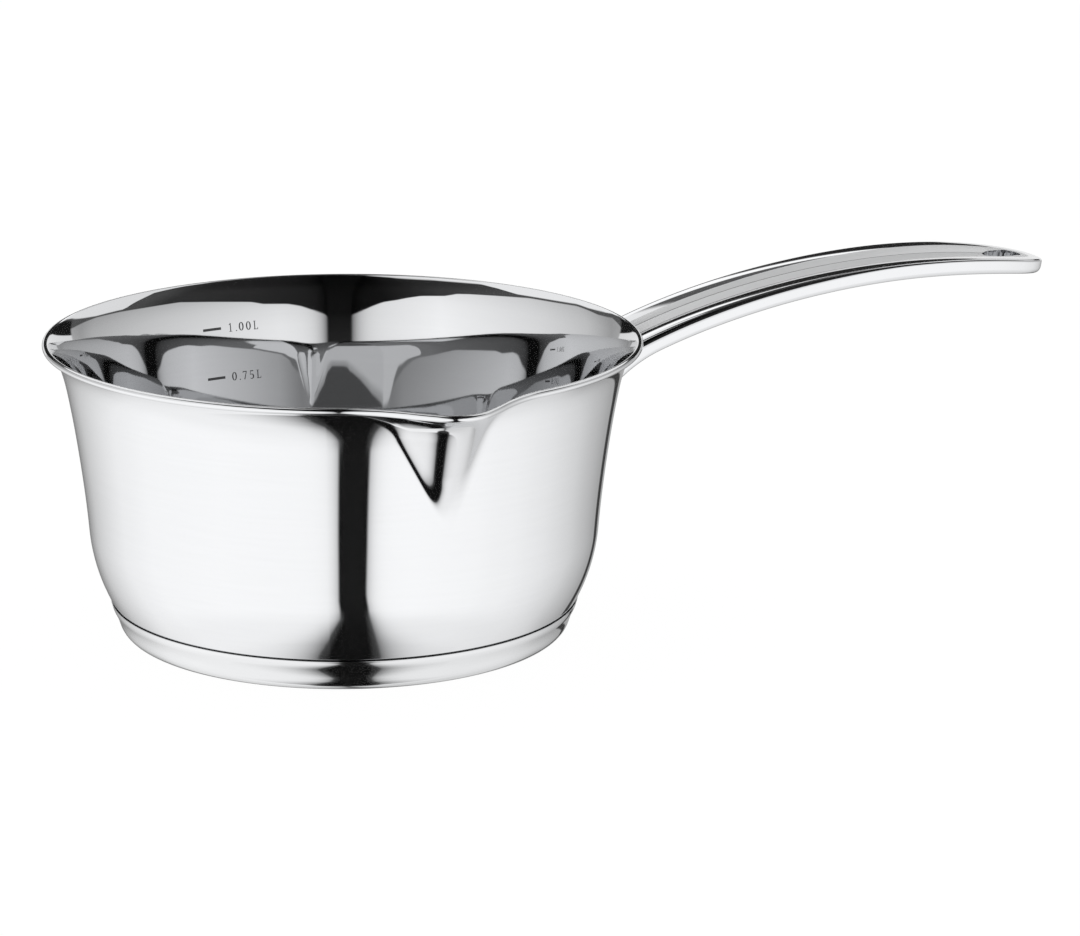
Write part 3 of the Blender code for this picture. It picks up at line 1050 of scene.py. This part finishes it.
    def dress(self, mesh: bpy.types.Mesh, row: np.ndarray) -> None:
        """Gives the rails and the channel their finish, and paints shade into the grooves with a
        dark grey copy of the satin.

        Args:
            mesh: The wrapped grid.
            row: Which level each vertex is on.
        """
        finishes_and_shade = [Finish.CAST_MIRROR, Finish.CAST_SATIN, Finish.CAST_GROOVE]
        for finish in finishes_and_shade:
            mesh.materials.append(finish.value.material())
        runs = [run for run, _ in self.levels()]
        upper = np.array([max(row[v] for v in face.vertices) for face in mesh.polygons])
        index = (upper >= runs.index(Run.SLOPE)).astype(np.int32)
        groove = (upper >= runs.index(Run.GROOVE)) & (upper < runs.index(Run.FLOOR))
        # Painted shade: the groove faces get the dark grey copy of the satin.
        index[groove] = finishes_and_shade.index(Finish.CAST_GROOVE)
        mesh.polygons.foreach_set("material_index", index)

    def bar(self) -> bpy.types.Object:
        """Wraps the bar and closes it.

        Returns:
            The bar, before its root and its slot are cut.
        """
        across, up = len(self.outline()[0]) - 1, len(self.levels()) - 1
        clear_selection()
        bpy.ops.mesh.primitive_grid_add(x_subdivisions=across, y_subdivisions=up, size=1.0)
        piece = bpy.context.object
        piece.name = "handle_bar"
        mesh = piece.data
        row = np.rint((vertex_places(mesh)[:, 1] + 0.5) * up).astype(int)
        self.wrap(mesh, row)
        self.dress(mesh, row)
        bpy.ops.object.mode_set(mode="EDIT")
        bpy.ops.mesh.select_all(action="SELECT")
        bpy.ops.mesh.remove_doubles(threshold=MERGE)
        bpy.ops.mesh.select_all(action="DESELECT")
        bpy.ops.mesh.select_mode(type="EDGE")
        bpy.ops.mesh.select_non_manifold()
        bpy.ops.mesh.edge_face_add()
        bpy.ops.mesh.select_all(action="SELECT")
        bpy.ops.mesh.normals_make_consistent(inside=False)
        bpy.ops.mesh.select_mode(type="VERT")
        bpy.ops.object.mode_set(mode="OBJECT")
        return piece

    def root_cutter(self) -> bpy.types.Object:
        """Turns the pan's outer form, which shapes the handle's root.

        Returns:
            The cutter.
        """
        pan = self.pan
        rim = pan.rim_radius + self.fit
        low = pan.rim_height - 2 * pan.bead - self.fit
        top = pan.rim_height + self.overrun
        profile = [(0.0, top), (rim, top), (rim, low)]
        for radius, height, lean, _ in reversed(pan.skin()[pan.lower_steps :]):
            normal = pan.skin_normal(lean)
            point = (radius + self.fit * normal[0], height + self.fit * normal[1])
            if point[1] < low and point[0] < rim:
                profile.append(point)
        profile.append((0.0, profile[-1][1]))
        return turned("root_cutter", profile, [(2 * math.pi, self.root_steps)])

    def slot_cutter(self) -> bpy.types.Object:
        """Draws a round bar apart into a slot, square to the handle.

        Returns:
            The cutter.
        """
        middle = self.tip_x - self.hole_from_tip - self.hole_length / 2
        height, slope = (float(v[0]) for v in self.arch(np.array([middle])))
        clear_selection()
        bpy.ops.mesh.primitive_cylinder_add(
            vertices=self.slot_steps, radius=self.hole_width / 2, depth=4 * self.overrun
        )
        cutter = bpy.context.object
        cutter.name = "slot_cutter"
        bpy.ops.object.mode_set(mode="EDIT")
        straight = (self.hole_length - self.hole_width) / 2
        for side in (1, -1):
            shape = bmesh.from_edit_mesh(cutter.data)
            for vert in shape.verts:
                vert.select = vert.co.x * side > 0
            shape.select_flush_mode()
            bmesh.update_edit_mesh(cutter.data)
            bpy.ops.transform.translate(value=(straight * side, 0, 0))
        bpy.ops.object.mode_set(mode="OBJECT")
        turn = Matrix.Rotation(-math.atan(slope), 4, "Y")
        cutter.data.transform(Matrix.Translation((middle, 0, height)) @ turn)
        return cutter

    def build(self) -> bpy.types.Object:
        """Makes the bar, shapes its root and pierces it.

        Returns:
            The finished piece.
        """
        piece = self.bar()
        for cutter in (self.root_cutter(), self.slot_cutter()):
            cut(piece, cutter)
        smooth(piece, CAST_SHARP)
        finish_piece(piece, "cast_steel", "cast_handle")
        return piece


# Litre marks


@dataclass
class LitreMarks:
    """The graduations on the inner wall: a tick and serif numerals at each level."""

    pan: PanShell
    high: float = 0.0704
    low: float = 0.0562
    tick_start: float = 103.3
    tick_end: float = 98.8
    tick_points: int = 13
    tick_height: float = 0.00075
    text_start: float = 97.1
    text_end: float = 89.4
    text_height: float = 0.00245
    advance: float = 0.80
    point_advance: float = 0.42
    clear: float = 0.000005
    proud: float = 0.00003

    def strokes(self, sign: str) -> list[list[PenPoint]]:
        """Draws a numeral, one unit high.

        Args:
            sign: The numeral.

        Returns:
            Its strokes, as (across, up, half thickness) points.
        """
        loop = [
            (0.32 + 0.23 * math.cos(a), 0.5 + 0.46 * math.sin(a), 0.035 + 0.045 * abs(math.cos(a)))
            for a in np.linspace(0, 2 * math.pi, 33)
        ]
        bowl = [
            (
                0.30 + 0.22 * math.cos(a),
                0.29 + 0.27 * math.sin(a),
                0.035 + 0.04 * max(math.cos(a), 0.0),
            )
            for a in np.linspace(math.radians(125), math.radians(-140), 17)
        ]
        table = {
            "0": [loop],
            "1": [
                [(0.33, 0.0, 0.06), (0.33, 1.0, 0.06)],
                [(0.14, 0.80, 0.03), (0.36, 0.97, 0.04)],
                [(0.15, 0.03, 0.03), (0.52, 0.03, 0.03)],
            ],
            "7": [
                [(0.08, 0.94, 0.055), (0.56, 0.94, 0.055)],
                [(0.09, 0.76, 0.03), (0.09, 0.96, 0.03)],
                [(0.53, 0.92, 0.04), (0.27, 0.0, 0.06)],
            ],
            "5": [
                [(0.13, 0.94, 0.055), (0.52, 0.94, 0.055)],
                [(0.15, 0.96, 0.03), (0.12, 0.48, 0.03)],
                bowl,
            ],
            "L": [
                [(0.20, 0.0, 0.06), (0.20, 1.0, 0.06)],
                [(0.06, 0.97, 0.03), (0.34, 0.97, 0.03)],
                [(0.06, 0.03, 0.035), (0.58, 0.03, 0.035)],
                [(0.56, 0.0, 0.03), (0.57, 0.24, 0.03)],
            ],
            ".": [[(0.10, 0.06, 0.06), (0.22, 0.06, 0.06)]],
        }
        return table[sign]

    def ladder(self, count: int, base: int) -> list[tuple[int, ...]]:
        """Joins two rows of points with faces.

        Args:
            count: Points in a row.
            base: Number of the first point.

        Returns:
            The faces.
        """
        starts = range(base, base + count - 1)
        return [(i, i + 1, count + i + 1, count + i) for i in starts]

    def ribbon(self, stroke: list[PenPoint]) -> list[Point]:
        """Widens one stroke, flat.

        Args:
            stroke: Its points and half thicknesses.

        Returns:
            Its two edges, as (across, up) points.
        """
        points = np.array(stroke)
        ways = np.gradient(points[:, :2], axis=0)
        ways /= np.linalg.norm(ways, axis=1)[:, None]
        square = np.stack((-ways[:, 1], ways[:, 0]), axis=1) * points[:, 2:]
        sides = np.concatenate((points[:, :2] + square, points[:, :2] - square))
        return [tuple(p) for p in sides]

    def layout(self, text: str, height: float) -> tuple[list[Point], list[tuple[int, ...]]]:
        """Lays one line of marks out.

        Args:
            text: The numerals.
            height: Height of their middle.

        Returns:
            Points as (degrees round the pan, height), and faces.
        """
        points, faces = [], []
        radius = self.pan.wall_at(height)[0] - self.pan.wall
        per_unit = math.degrees(self.text_height / radius)
        widths = [self.point_advance if sign == "." else self.advance for sign in text]
        spread = (self.text_start - self.text_end) / (sum(widths) * per_unit)
        place = 0.0
        for sign, wide in zip(text, widths):
            for stroke in self.strokes(sign):
                faces += self.ladder(len(stroke), len(points))
                for across, up in self.ribbon(stroke):
                    angle = self.text_start - (place + across) * per_unit
                    points.append((angle, height + (up - 0.5) * self.text_height))
            place += wide * spread
        faces += self.ladder(self.tick_points, len(points))
        angles = np.linspace(self.tick_start, self.tick_end, self.tick_points)
        points += [(a, height + up * self.tick_height) for up in (-0.5, 0.5) for a in angles]
        return points, faces

    def line(self, name: str, text: str, height: float) -> bpy.types.Object:
        """Makes one tick with its numerals, which turn towards the pan's axis.

        Args:
            name: The piece's name.
            text: The numerals.
            height: Height of their middle.

        Returns:
            The finished piece.
        """
        points, faces = self.layout(text, height)
        places = []
        for angle, z in points:
            radius, turn = self.inner_radius(z) - self.clear, math.radians(angle)
            places.append((radius * math.cos(turn), radius * math.sin(turn), z))
        mesh = bpy.data.meshes.new(name)
        mesh.from_pydata(places, [], faces)
        shape = bmesh.new()
        shape.from_mesh(mesh)
        shape.normal_update()
        for face in shape.faces:
            middle = face.calc_center_median()
            if face.normal.x * middle.x + face.normal.y * middle.y > 0:
                face.normal_flip()
        shape.to_mesh(mesh)
        shape.free()
        piece = bpy.data.objects.new(name, mesh)
        bpy.context.scene.collection.objects.link(piece)
        clear_selection()
        piece.select_set(True)
        bpy.context.view_layer.objects.active = piece
        solid = piece.modifiers.new("thickness", "SOLIDIFY")
        solid.thickness = self.proud
        solid.offset = 1.0
        bpy.ops.object.modifier_apply(modifier=solid.name)
        piece.data.materials.append(Finish.ETCHED_GREY.value.material())
        finish_piece(piece, "polished_steel")
        return piece

    def inner_radius(self, height: float) -> float:
        """Radius of the inner wall at a height."""
        radius, lean = self.pan.wall_at(height)
        return radius - self.pan.wall / math.cos(lean)

    def build(self) -> list[bpy.types.Object]:
        """Makes both lines."""
        return [
            self.line("litre_mark_high", "1.00L", self.high),
            self.line("litre_mark_low", "0.75L", self.low),
        ]


# Room and camera

# Levels at bearings in degrees
TABLE_LOW = (
    *((-180, 0.20), (-175, 0.22), (-165, 0.27), (-155, 0.52), (-145, 0.80), (-135, 1.0)),
    *((-125, 1.18), (-115, 1.34), (-105, 1.41), (-95, 1.48), (-85, 1.50), (-55, 1.53)),
    *((0, 1.50), (35, 1.53), (55, 1.50), (65, 1.48), (75, 1.43), (85, 1.40), (95, 1.33)),
    *((105, 1.25), (115, 1.13), (125, 1.0), (135, 0.82), (145, 0.66), (155, 0.50)),
    *((167, 0.42), (175, 0.45), (180, 0.22)),
)
TABLE_STEEP = (
    *((-180, 0.10), (-175, 0.60), (-165, 0.95), (-155, 1.05), (-145, 1.15), (-135, 1.20)),
    *((-125, 1.26), (-115, 1.32), (-105, 1.36), (-95, 1.40), (-65, 1.42), (0, 1.40)),
    *((35, 1.35), (65, 1.33), (85, 1.28), (105, 1.22), (125, 1.10), (145, 1.0)),
    *((155, 1.0), (165, 0.95), (175, 0.60), (180, 0.10)),
)
LEFT_BOARD = (
    *((-180, 0.75), (-140, 0.48), (-120, 0.83), (-90, 1.09), (-40, 1.43), (-10, 1.18)),
    *((0, 1.1), (180, 0.0)),
)
RIGHT_BOARD = (
    *((-180, 0.0), (0, 1.2), (30, 1.32), (90, 0.93), (130, 0.66), (140, 0.50)),
    (180, 0.80),
)
DARK = (
    *((-180, 0.14), (-90, 0.11), (-60, 0.08), (-45, 0.06), (-30, 0.03), (-15, 0.01)),
    *((0, 0.008), (15, 0.02), (60, 0.04), (90, 0.05), (105, 0.10), (180, 0.14)),
)
DARK_IN_STEEL = (
    *((-180, 0.35), (-60, 0.28), (-15, 0.15), (0, 0.10), (15, 0.14), (90, 0.28)),
    *((105, 0.35), (180, 0.35)),
)
# Heights at bearings: where the boards end, the lamps start and the hump ends
BOARD_TOPS = (
    *((-180, 0.15), (-151, 0.16), (-142, 0.355), (-132, 0.41), (-127, 0.478)),
    *((-122, 0.537), (-114, 0.566), (-107, 0.593), (-101, 0.62), (-95, 0.645)),
    *((-80, 0.655), (-60, 0.660), (-53, 0.65), (-45, 0.58), (-33, 0.553), (-26, 0.49)),
    *((-21, 0.434), (-15, 0.388), (-10, 0.321), (-6, 0.269), (-2, 0.236), (3, 0.195)),
    *((8, 0.19), (11, 0.237), (16, 0.272), (21.5, 0.328), (27, 0.363), (38, 0.378)),
    *((44, 0.431), (55, 0.463), (68, 0.505), (82, 0.545), (94, 0.508), (101, 0.488)),
    *((115.5, 0.453), (130, 0.39), (137.5, 0.33), (147, 0.24), (180, 0.2)),
)
LAMP_FOOT = (
    *((-180, 0.42), (-151, 0.42), (-139, 0.425), (-129, 0.503), (-124, 0.562)),
    *((-117, 0.596), (-110, 0.626), (-104, 0.655), (-98, 0.684), (-92, 0.713)),
    *((-90.5, 0.79), (-87, 0.851), (-75, 0.885), (-63, 0.915), (-41, 0.946), (-20, 1.0)),
    *((0, 1.1), (112, 1.1), (114, 0.50), (117, 0.49), (131, 0.415), (147, 0.37)),
    (180, 0.37),
)
HUMP_TOP = (
    *((-180, 0.413), (-177, 0.418), (-167, 0.418), (-163, 0.388), (-160, 0.331)),
    *((-156, 0.299), (-153, 0.272), (-149, 0.262), (-140, 0.20), (140, 0.20)),
    *((150, 0.26), (158, 0.289), (165, 0.329), (172, 0.367), (176, 0.388), (180, 0.413)),
)
# The slot's middle, half width, fade and level at heights
SLOT_MIDDLE = (
    *((-1.0, 0.125), (-0.87, 0.125), (-0.675, 0.14), (-0.5, 0.113), (0, 0.078)),
    (1.0, 0.078),
)
SLOT_HALF = (
    *((-1.0, 0.15), (-0.94, 0.165), (-0.874, 0.153), (-0.79, 0.13), (-0.675, 0.097)),
    *((-0.5, 0.10), (-0.3, 0.095), (0, 0.0875), (1.0, 0.0875)),
)
SLOT_FADE_RATE = ((-1.0, 7), (-0.87, 8.5), (-0.675, 20), (-0.5, 25), (0, 17), (1.0, 17))
SLOT_FADE_SHARE = (
    *((-1.0, 0.85), (-0.675, 0.85), (-0.6, 0.55), (-0.5, 0.50), (-0.3, 0.6), (0, 0.9)),
    (1.0, 0.9),
)
SLOT_LEVEL = (
    *((-1.0, 0.007), (-0.87, 0.0075), (-0.5, 0.013), (0, 0.02), (0.13, 0.023)),
    *((0.15, 0.0166), (0.24, 0.008), (1.0, 0.004)),
)


@dataclass
class Room:
    """What the polished steel shows: two white boards with a slot, a table, a dark room, lamps.

    A bearing is in degrees from the camera's way back, to its right. A height or depth is the
    direction's share upwards or downwards. A span is where a change starts and ends. A band is
    where something starts, is whole, is last whole and is over.

    Attributes:
        side: The direction's share to the camera's right.
        front: Its share towards the camera.
        rise: Its share upwards.
        deep: One where the steel shows the room by way of other steel, else zero.
    """

    side: Wire
    front: Wire
    rise: Wire
    deep: Wire
    edge: float = 0.012
    dark_line: Band = (158.0, 160.5, 165.5, 168.0)
    line_level: float = 0.05
    steep: Span = (0.58, 0.75)
    under_pan: Span = (0.985, 0.993)
    board_join: Span = (-1.0, 1.0)
    board_foot: Span = (-0.12, 0.04)
    left_fall: float = 0.2
    left_level: float = 1.03
    right_fall: float = 0.6
    right_level: float = 1.06
    ceiling: Span = (0.70, 0.90)
    ceiling_fall: float = 0.5
    lamp_raise: float = 0.12
    lamp_raised: Span = (134.0, 144.0)
    lamp_end: Span = (169.5, 166.5)
    tall_lamps: Band = (-128.0, -118.0, 0.0, 10.0)
    lamp_top: Span = (0.91, 0.87)
    lamp_join: Span = (-10.0, 10.0)
    lamp_levels: Span = (1.28, 1.12)
    zenith: Span = (0.90, 0.93)
    zenith_band: Band = (-12.0, -4.0, 60.0, 70.0)
    zenith_level: float = 1.5
    far_end: Span = (147.0, 149.0)
    far_middle: Span = (163.0, 167.0)
    horizon: Span = (-0.12, -0.02)
    hump_head: Span = (0.32, 0.36)
    hump_foot: Span = (0.15, 0.13)
    hump_level: float = 0.012
    stripe: Band = (0.355, 0.375, 0.445, 0.47)
    stripe_level: float = 1.5
    foot_level: float = 1.0
    steel_hump_foot: Span = (0.25, 0.235)
    steel_hump_edge: float = 0.008
    steel_hump_level: float = 0.145
    steel_wall: Span = (0.0, 0.06)
    steel_wall_gain: float = 0.42
    steel_wall_level: float = 0.62
    steel_roof: Span = (0.905, 0.925)
    steel_roof_level: float = 0.15
    shoulder_start: float = 0.6
    shoulder_width: float = 0.4
    shoulder_depth: Span = (0.55, 0.65)
    shoulder_level: float = 0.075
    front_half: Span = (-0.02, 0.02)

    def __post_init__(self) -> None:
        """Works out the bearing, its size, and how far down the direction points."""
        self.way = self.side.math("ARCTAN2", self.front) * math.degrees(1)
        self.far = self.way.math("ABSOLUTE")
        self.depth = self.rise * -1

    def table(self) -> Wire:
        """The table, which the wall shows at a low angle and the base at a steep one.

        Returns:
            Its level.
        """
        low = self.way.band(self.dark_line).blend(self.way.curve(TABLE_LOW), self.line_level)
        level = self.depth.step(*self.steep).blend(low, self.way.curve(TABLE_STEEP))
        return self.depth.step(*self.under_pan).blend(level, self.line_level)

    def boards(self, table: Wire) -> Wire:
        """The white boards, which stand on the table.

        Args:
            table: The table's level.

        Returns:
            The level of both.
        """
        left = self.way.curve(LEFT_BOARD) * (self.rise * -self.left_fall + self.left_level)
        right = self.way.curve(RIGHT_BOARD) * (self.rise * -self.right_fall + self.right_level)
        level = self.way.step(*self.board_join).blend(left, right)
        return self.rise.step(*self.board_foot).blend(table, level)

    def dark(self) -> Wire:
        """The dark room above the boards.

        Returns:
            Its level.
        """
        once = self.way.curve(DARK) * (self.rise.step(*self.ceiling) * -self.ceiling_fall + 1)
        return self.deep.blend(once, self.way.curve(DARK_IN_STEEL))

    def lamps(self, level: Wire) -> Wire:
        """Hangs the lamps above and behind.

        Args:
            level: The level without them.

        Returns:
            The level with them.
        """
        over = self.rise - self.way.curve(LAMP_FOOT)
        over = over + self.deep * self.far.step(*self.lamp_raised) * self.lamp_raise
        shown = over.step(-self.edge, self.edge) * self.far.step(*self.lamp_end)
        tall = self.way.band(self.tall_lamps)
        shown = shown * tall.math("MAXIMUM", self.rise.step(*self.lamp_top))
        lamp = self.way.step(*self.lamp_join).blend(*self.lamp_levels)
        overhead = self.deep * self.rise.step(*self.zenith) * self.way.band(self.zenith_band)
        return overhead.blend(shown.blend(level, lamp), self.zenith_level)

    def behind(self, level: Wire, table: Wire) -> Wire:
        """The far end of the room: a dark hump with light over it, higher in other steel.

        Args:
            level: The level beside it.
            table: The table's level.

        Returns:
            The level there.
        """
        middle = self.far.step(*self.far_middle)
        hump = middle * self.hump_level + self.hump_level
        once = self.rise.step(*self.hump_head).blend(hump, level)
        once = (self.rise.band(self.stripe) * middle).blend(once, self.stripe_level)
        once = self.rise.step(*self.hump_foot).blend(once, self.foot_level)
        over = self.rise - self.way.curve(HUMP_TOP)
        wall = over.step(*self.steel_wall) * self.steel_wall_gain + self.steel_wall_level
        top = over.step(-self.steel_hump_edge, self.steel_hump_edge)
        twice = top.blend(self.steel_hump_level, wall)
        twice = self.rise.step(*self.steel_roof).blend(twice, self.steel_roof_level)
        twice = self.rise.step(*self.steel_hump_foot).blend(twice, self.foot_level)
        return self.rise.step(*self.horizon).blend(table, self.deep.blend(once, twice))

    def slot(self, level: Wire) -> Wire:
        """Opens the dark slot between the boards.

        Args:
            level: The level without it.

        Returns:
            The level with it.
        """
        away = (self.side - self.front * self.rise.curve(SLOT_MIDDLE)).math("ABSOLUTE")
        half = self.rise.curve(SLOT_HALF)
        past = away - half
        fade = (past * self.rise.curve(SLOT_FADE_RATE) * -1).math("EXPONENT")
        fade = fade.math("MINIMUM", 1.0) * self.rise.curve(SLOT_FADE_SHARE) * -1 + 1
        shoulder = (away / half - self.shoulder_start).step(0.0, self.shoulder_width)
        shoulder = shoulder * self.depth.step(*self.shoulder_depth) * self.shoulder_level
        inside = shoulder + self.rise.curve(SLOT_LEVEL)
        shown = past.step(-self.edge, self.edge).blend(inside, level * fade)
        return self.front.step(*self.front_half).blend(level, shown)

    def level(self) -> Wire:
        """How bright the room is in the direction.

        Returns:
            The level.
        """
        table = self.table()
        lit = (self.way.curve(BOARD_TOPS) - self.rise).step(-self.edge, self.edge)
        level = self.lamps(lit.blend(self.dark(), self.boards(table)))
        level = self.far.step(*self.far_end).blend(level, self.behind(level, table))
        return self.slot(level)


@dataclass
class Studio:
    """The photograph's camera, the room's light and a plain pale floor."""

    turn: float = math.radians(19.4)
    reach: float = 1.133770
    height: float = 0.345505
    yaw: float = 0.04818
    pitch: float = 0.25854
    roll: float = 0.00680
    lens: float = 139.93
    sensor: float = 36.0
    floor_size: float = 30.0
    floor_drop: float = 0.0002
    floor_glow: float = 0.97
    floor_grey: float = 0.04
    second_bounce: Span = (2.4, 2.6)

    def ways(self) -> tuple[Vector, Vector, Vector]:
        """The camera's axes, with its roll.

        Returns:
            Its view, right and up directions.
        """
        turn = Matrix.Rotation(-self.turn, 3, "Z")
        ahead = math.cos(self.pitch)
        view = Vector(
            (math.sin(self.yaw) * ahead, math.cos(self.yaw) * ahead, -math.sin(self.pitch))
        )
        right = Vector((math.cos(self.yaw), -math.sin(self.yaw), 0))
        up = right.cross(view)
        c, s = math.cos(self.roll), math.sin(self.roll)
        right, up = right * c + up * s, up * c - right * s
        return turn @ view, turn @ right, turn @ up

    def place_camera(self) -> None:
        """Stands the camera where the photograph was taken."""
        view, right, up = self.ways()
        data = bpy.data.cameras.new("photo_camera")
        data.lens = self.lens
        data.sensor_fit = "HORIZONTAL"
        data.sensor_width = self.sensor
        camera = bpy.data.objects.new("photo_camera", data)
        bpy.context.scene.collection.objects.link(camera)
        place = Matrix.Rotation(-self.turn, 3, "Z") @ Vector((0, -self.reach, self.height))
        axes = Matrix((right, up, -view)).transposed()
        camera.matrix_world = Matrix.Translation(place) @ axes.to_4x4()
        bpy.context.scene.camera = camera

    def light(self) -> None:
        """Makes the world: the room for polished steel, plain white for all else."""
        world = bpy.data.worlds.new("studio")
        bpy.context.scene.world = world
        world.use_nodes = True
        tree = world.node_tree
        tree.nodes.clear()
        ray = tree.nodes.new("ShaderNodeTexCoord").outputs["Generated"]
        turn = self.turn + self.yaw
        shares = []
        for way in (
            (math.cos(turn), -math.sin(turn), 0),
            (-math.sin(turn), -math.cos(turn), 0),
            (0, 0, 1),
        ):
            dot = tree.nodes.new("ShaderNodeVectorMath")
            dot.operation = "DOT_PRODUCT"
            tree.links.new(ray, dot.inputs[0])
            dot.inputs[1].default_value = way
            shares.append(Wire(tree, dot.outputs["Value"]))
        path = tree.nodes.new("ShaderNodeLightPath")
        deep = Wire(tree, path.outputs["Ray Depth"]).step(*self.second_bounce)
        choose = tree.nodes.new("ShaderNodeMixShader")
        seen = Wire(tree, path.outputs["Is Camera Ray"])
        seen.math("MAXIMUM", Wire(tree, path.outputs["Is Diffuse Ray"])).feed(choose.inputs["Fac"])
        for place, level in ((1, Room(*shares, deep).level()), (2, Wire(tree, 1.0))):
            shade = tree.nodes.new("ShaderNodeBackground")
            shade.inputs["Color"].default_value = (1, 1, 1, 1)
            level.feed(shade.inputs["Strength"])
            tree.links.new(shade.outputs["Background"], choose.inputs[place])
        out = tree.nodes.new("ShaderNodeOutputWorld")
        tree.links.new(choose.outputs["Shader"], out.inputs["Surface"])
        world.cycles.sampling_method = "NONE"

    def lay_floor(self) -> None:
        """Lays the pale floor, which the polished steel doesn't show."""
        clear_selection()
        bpy.ops.mesh.primitive_plane_add(size=self.floor_size)
        floor = bpy.context.object
        floor.name = "floor"
        floor.data.transform(Matrix.Translation((0, 0, -self.floor_drop)))
        floor.visible_glossy = False
        material = bpy.data.materials.new("pale_floor")
        material.use_nodes = True
        tree = material.node_tree
        tree.nodes.clear()
        glow = tree.nodes.new("ShaderNodeEmission")
        glow.inputs["Strength"].default_value = self.floor_glow
        matt = tree.nodes.new("ShaderNodeBsdfDiffuse")
        matt.inputs["Color"].default_value = (*[self.floor_grey] * 3, 1)
        total = tree.nodes.new("ShaderNodeAddShader")
        out = tree.nodes.new("ShaderNodeOutputMaterial")
        tree.links.new(glow.outputs["Emission"], total.inputs[0])
        tree.links.new(matt.outputs["BSDF"], total.inputs[1])
        tree.links.new(total.outputs["Shader"], out.inputs["Surface"])
        floor.data.materials.append(material)

    def build(self) -> None:
        """Sets up the studio."""
        self.place_camera()
        self.light()
        self.lay_floor()
        bpy.context.scene.view_settings.view_transform = "Standard"


# Assembly


def dress_node(node: str, metal: Metal) -> None:
    """Gives a CAD node that stays in sight its finish.

    Args:
        node: The node's name.
        metal: The finish.
    """
    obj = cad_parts[node]
    obj.data.materials.clear()
    obj.data.materials.append(metal.material())
    log.info("%s: dressed", node)


def main() -> None:
    """Builds and dresses the pan, piece by piece, and sets up the studio."""
    logging.basicConfig(level=logging.INFO, format="%(name)s: %(message)s")
    Studio().build()
    pan = PanShell()
    pan.build()
    BaseCup().build()
    CastHandle(pan).build()
    LitreMarks(pan).build()
    dress_node("spreader_core", Finish.ALUMINIUM.value)


if __name__ == "__main__":
    main()
